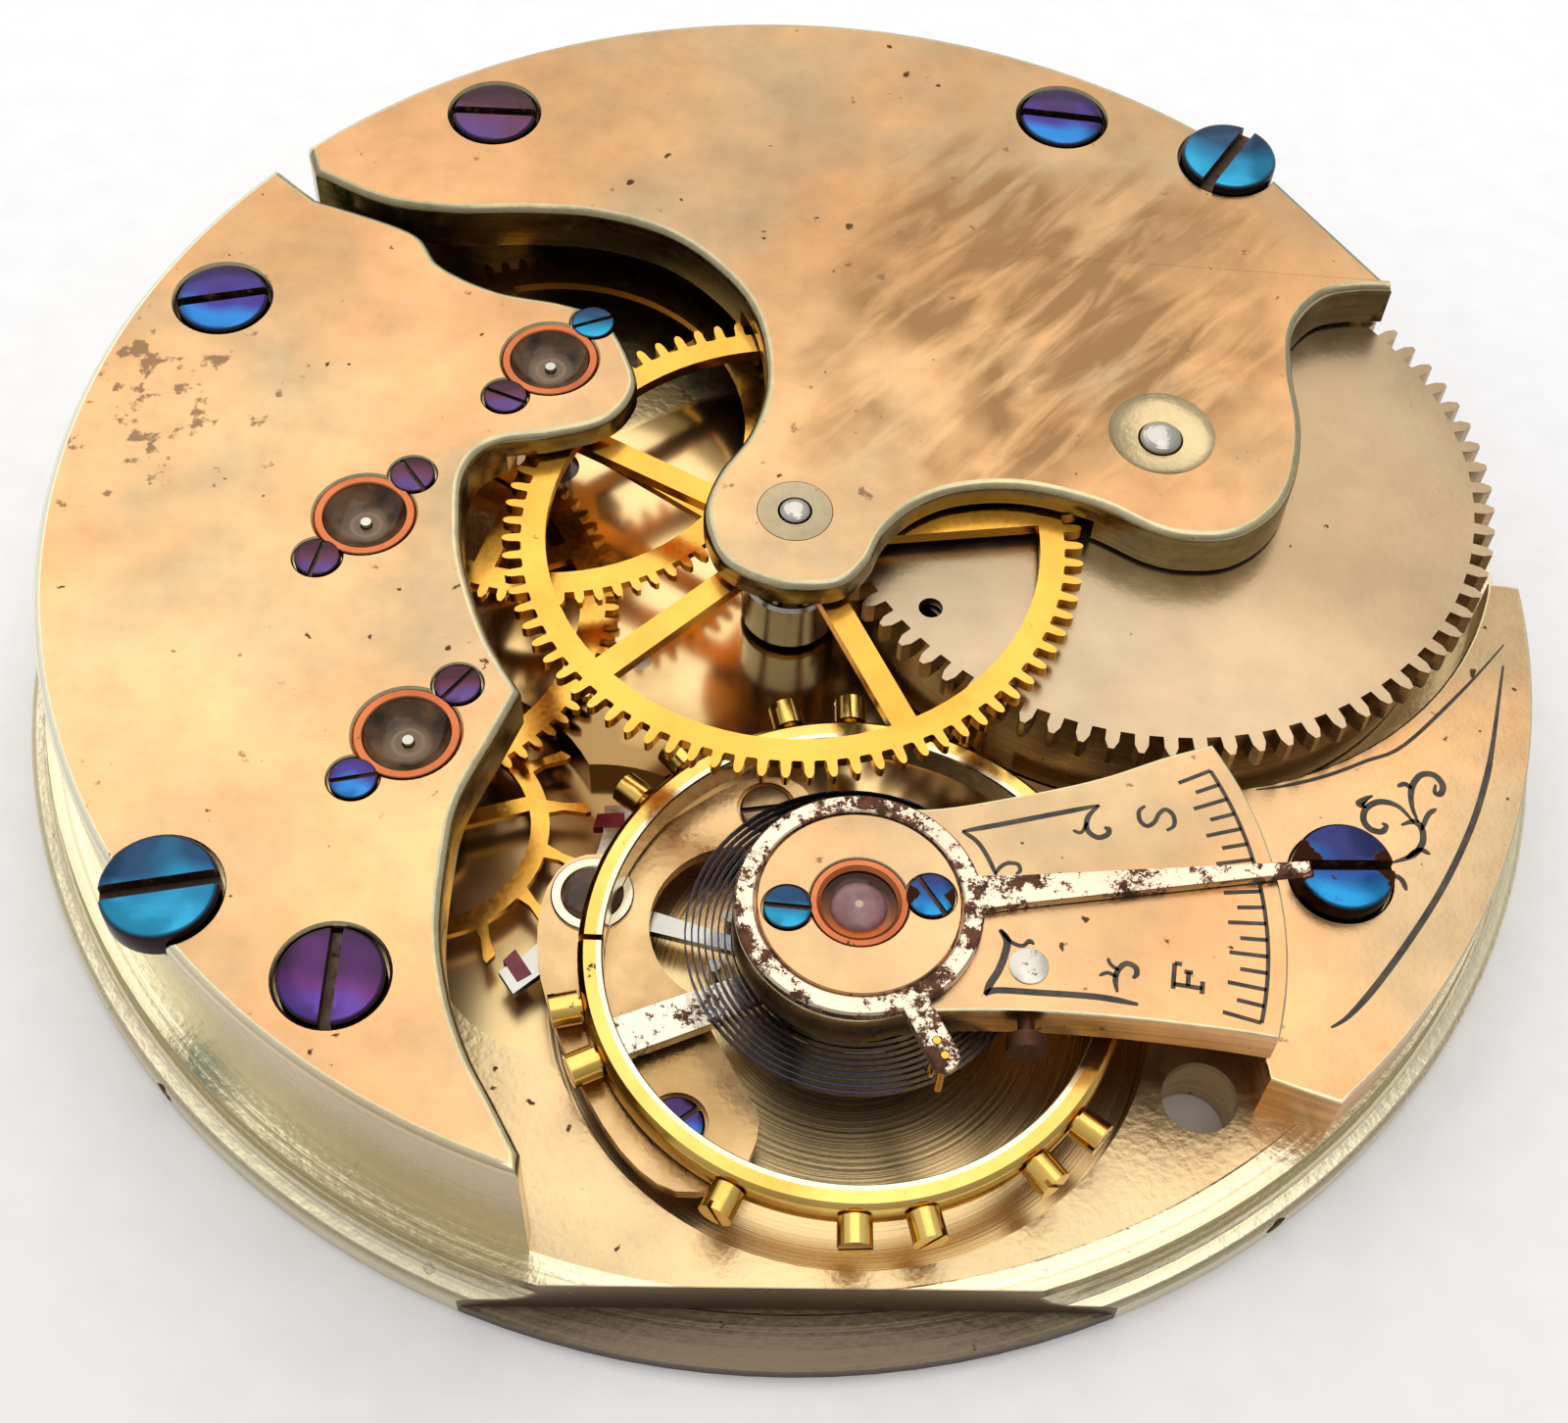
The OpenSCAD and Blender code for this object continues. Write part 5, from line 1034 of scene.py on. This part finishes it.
wax, shader, place = new_material("graver_black")
tone = noise(place, 2500.0, 3.0)
feed(shader.inputs["Base Color"], ramp(tone, [
    (0.3, (0.012, 0.010, 0.008)), (0.75, (0.10, 0.07, 0.04))]))
feed(shader.inputs["Roughness"], fit(tone, 0, 1, 0.45, 0.75))


def stroke(name, line, width, height, taper):
    """One cut of the graver: a ribbon along the line, narrowed at its ends by the taper."""
    points = [Vector(p) for p in line]
    last = len(points) - 1
    left, rights = [], []
    for i, point in enumerate(points):
        along = (points[min(i + 1, last)] - points[max(i - 1, 0)]).normalized()
        side = Vector((-along.y, along.x))
        ease = min(1.0, taper + 3.0 * min(i, last - i) / last)
        left.append(tuple(point + side * width / 2 * ease))
        rights.append(tuple(point - side * width / 2 * ease))
    return sheet_blank(name, rights + left[::-1], height - cut_depth, height + wax_rise)


def engraving(name, strokes, height):
    """Joins the cuts on one face into one piece."""
    made = joined(name, [stroke(f"{name}_{i}", line, width, height, taper)
                         for i, (line, width, taper) in enumerate(strokes)])
    metal_on(made, wax)
    finished(made, "bridge_nickel")


def lettered(line, at, turn, size=1.0):
    """Sets a letter's line at its place on the table; its top faces the balance."""
    c, s = math.cos(math.radians(turn)) * size, math.sin(math.radians(turn)) * size
    return [(at[0] + x * c - y * s, at[1] + x * s + y * c) for x, y in line]


cuts = [(arc(scale_r, scale_start, scale_start + scale_sweep, 40, balance_at), 0.09, 1.0)]
for i in range(scale_marks):
    angle = scale_start + scale_sweep / (scale_marks - 1) * i
    length = 0.57 if i % 2 else 0.80
    cuts.append(([from_balance(scale_r, angle), from_balance(scale_r - length, angle)], 0.09, 1.0))
cuts.append((lettered(smooth(s_shape, 4), s_at, s_turn), 0.10, 0.6))
cuts += [(lettered(line, f_at, f_turn, f_size), 0.10, 1.0) for line in f_shape]
cuts += [(smooth(line, 5), width, 0.5) for width, line in table_lines]
engraving("table_engraving", cuts, table_top)
engraving("foot_engraving", [(smooth(line, 5), width, 0.35) for width, line in foot_lines], foot_top)

# Stud screw and regulator
# The stud is held by a small screw in the cock's side, now rusted solid. The regulator is polished
# steel, sprung onto the cock's boss; its pointer moves over the scale and two pins hold the spring.
stud_at = (5.401, -10.913)
regulator_low, regulator_high, tail_angle = 4.84, 5.06, -61.5
curb_pin_r = (3.4675, 3.8125)
dress(steel("rusty_steel", (0.09, 0.04, 0.025), 0.5, 0.04), "stud_screw")
stud = turned("hairspring_stud_dressed", [
    (0, spring_low), (0.2, spring_low), (0.2, table_top + 0.003), (0.41, table_top + 0.003),
    (0.41, table_top + 0.025), (0.39, table_top + 0.035), (0, table_top + 0.035)],
    stud_at, 40, steel("speckled_steel", (0.62, 0.58, 0.50), 0.28, 0.06, 4200.0))
finished(stud, "steel", "hairspring_stud")


def regulator_arm(line, angle):
    """An arm of the regulator, drawn to the right of the balance's axis and turned to its place."""
    arm = sheet_blank("regulator_arm", [(balance_at[0] + x, balance_at[1] + y) for x, y in line],
                      regulator_low, regulator_high)
    chamfer(arm, 0.04, regulator_high - 0.01)
    turn_about(arm, balance_at, angle)
    return arm


regulator = turned("regulator_dressed", [
    (2.18, regulator_low), (2.60, regulator_low), (2.60, regulator_high - 0.05),
    (2.55, regulator_high), (2.22, regulator_high), (2.18, regulator_high - 0.03)], balance_at, 96)
combine(regulator, regulator_arm([
    (2.3, -0.42), (3.4, -0.34), (9.6, -0.14), (9.6, 0.14), (3.4, 0.34), (2.3, 0.42)],
    pointer_angle), "UNION")
combine(regulator, regulator_arm([(2.3, -0.3), (3.84, -0.3)] + arc(0.3, -80, 80, 8, (3.84, 0))
                                 + [(3.84, 0.3), (2.3, 0.3)], tail_angle), "UNION")
metal_on(regulator, steel("regulator_steel", (0.80, 0.63, 0.46), 0.17, 0.16, 900.0))
for r in curb_pin_r:
    cut(regulator, rod(0.10, 4, 6, from_balance(r, tail_angle), 20), train_gilt)
finished(regulator, "steel", "regulator", body="regulator")
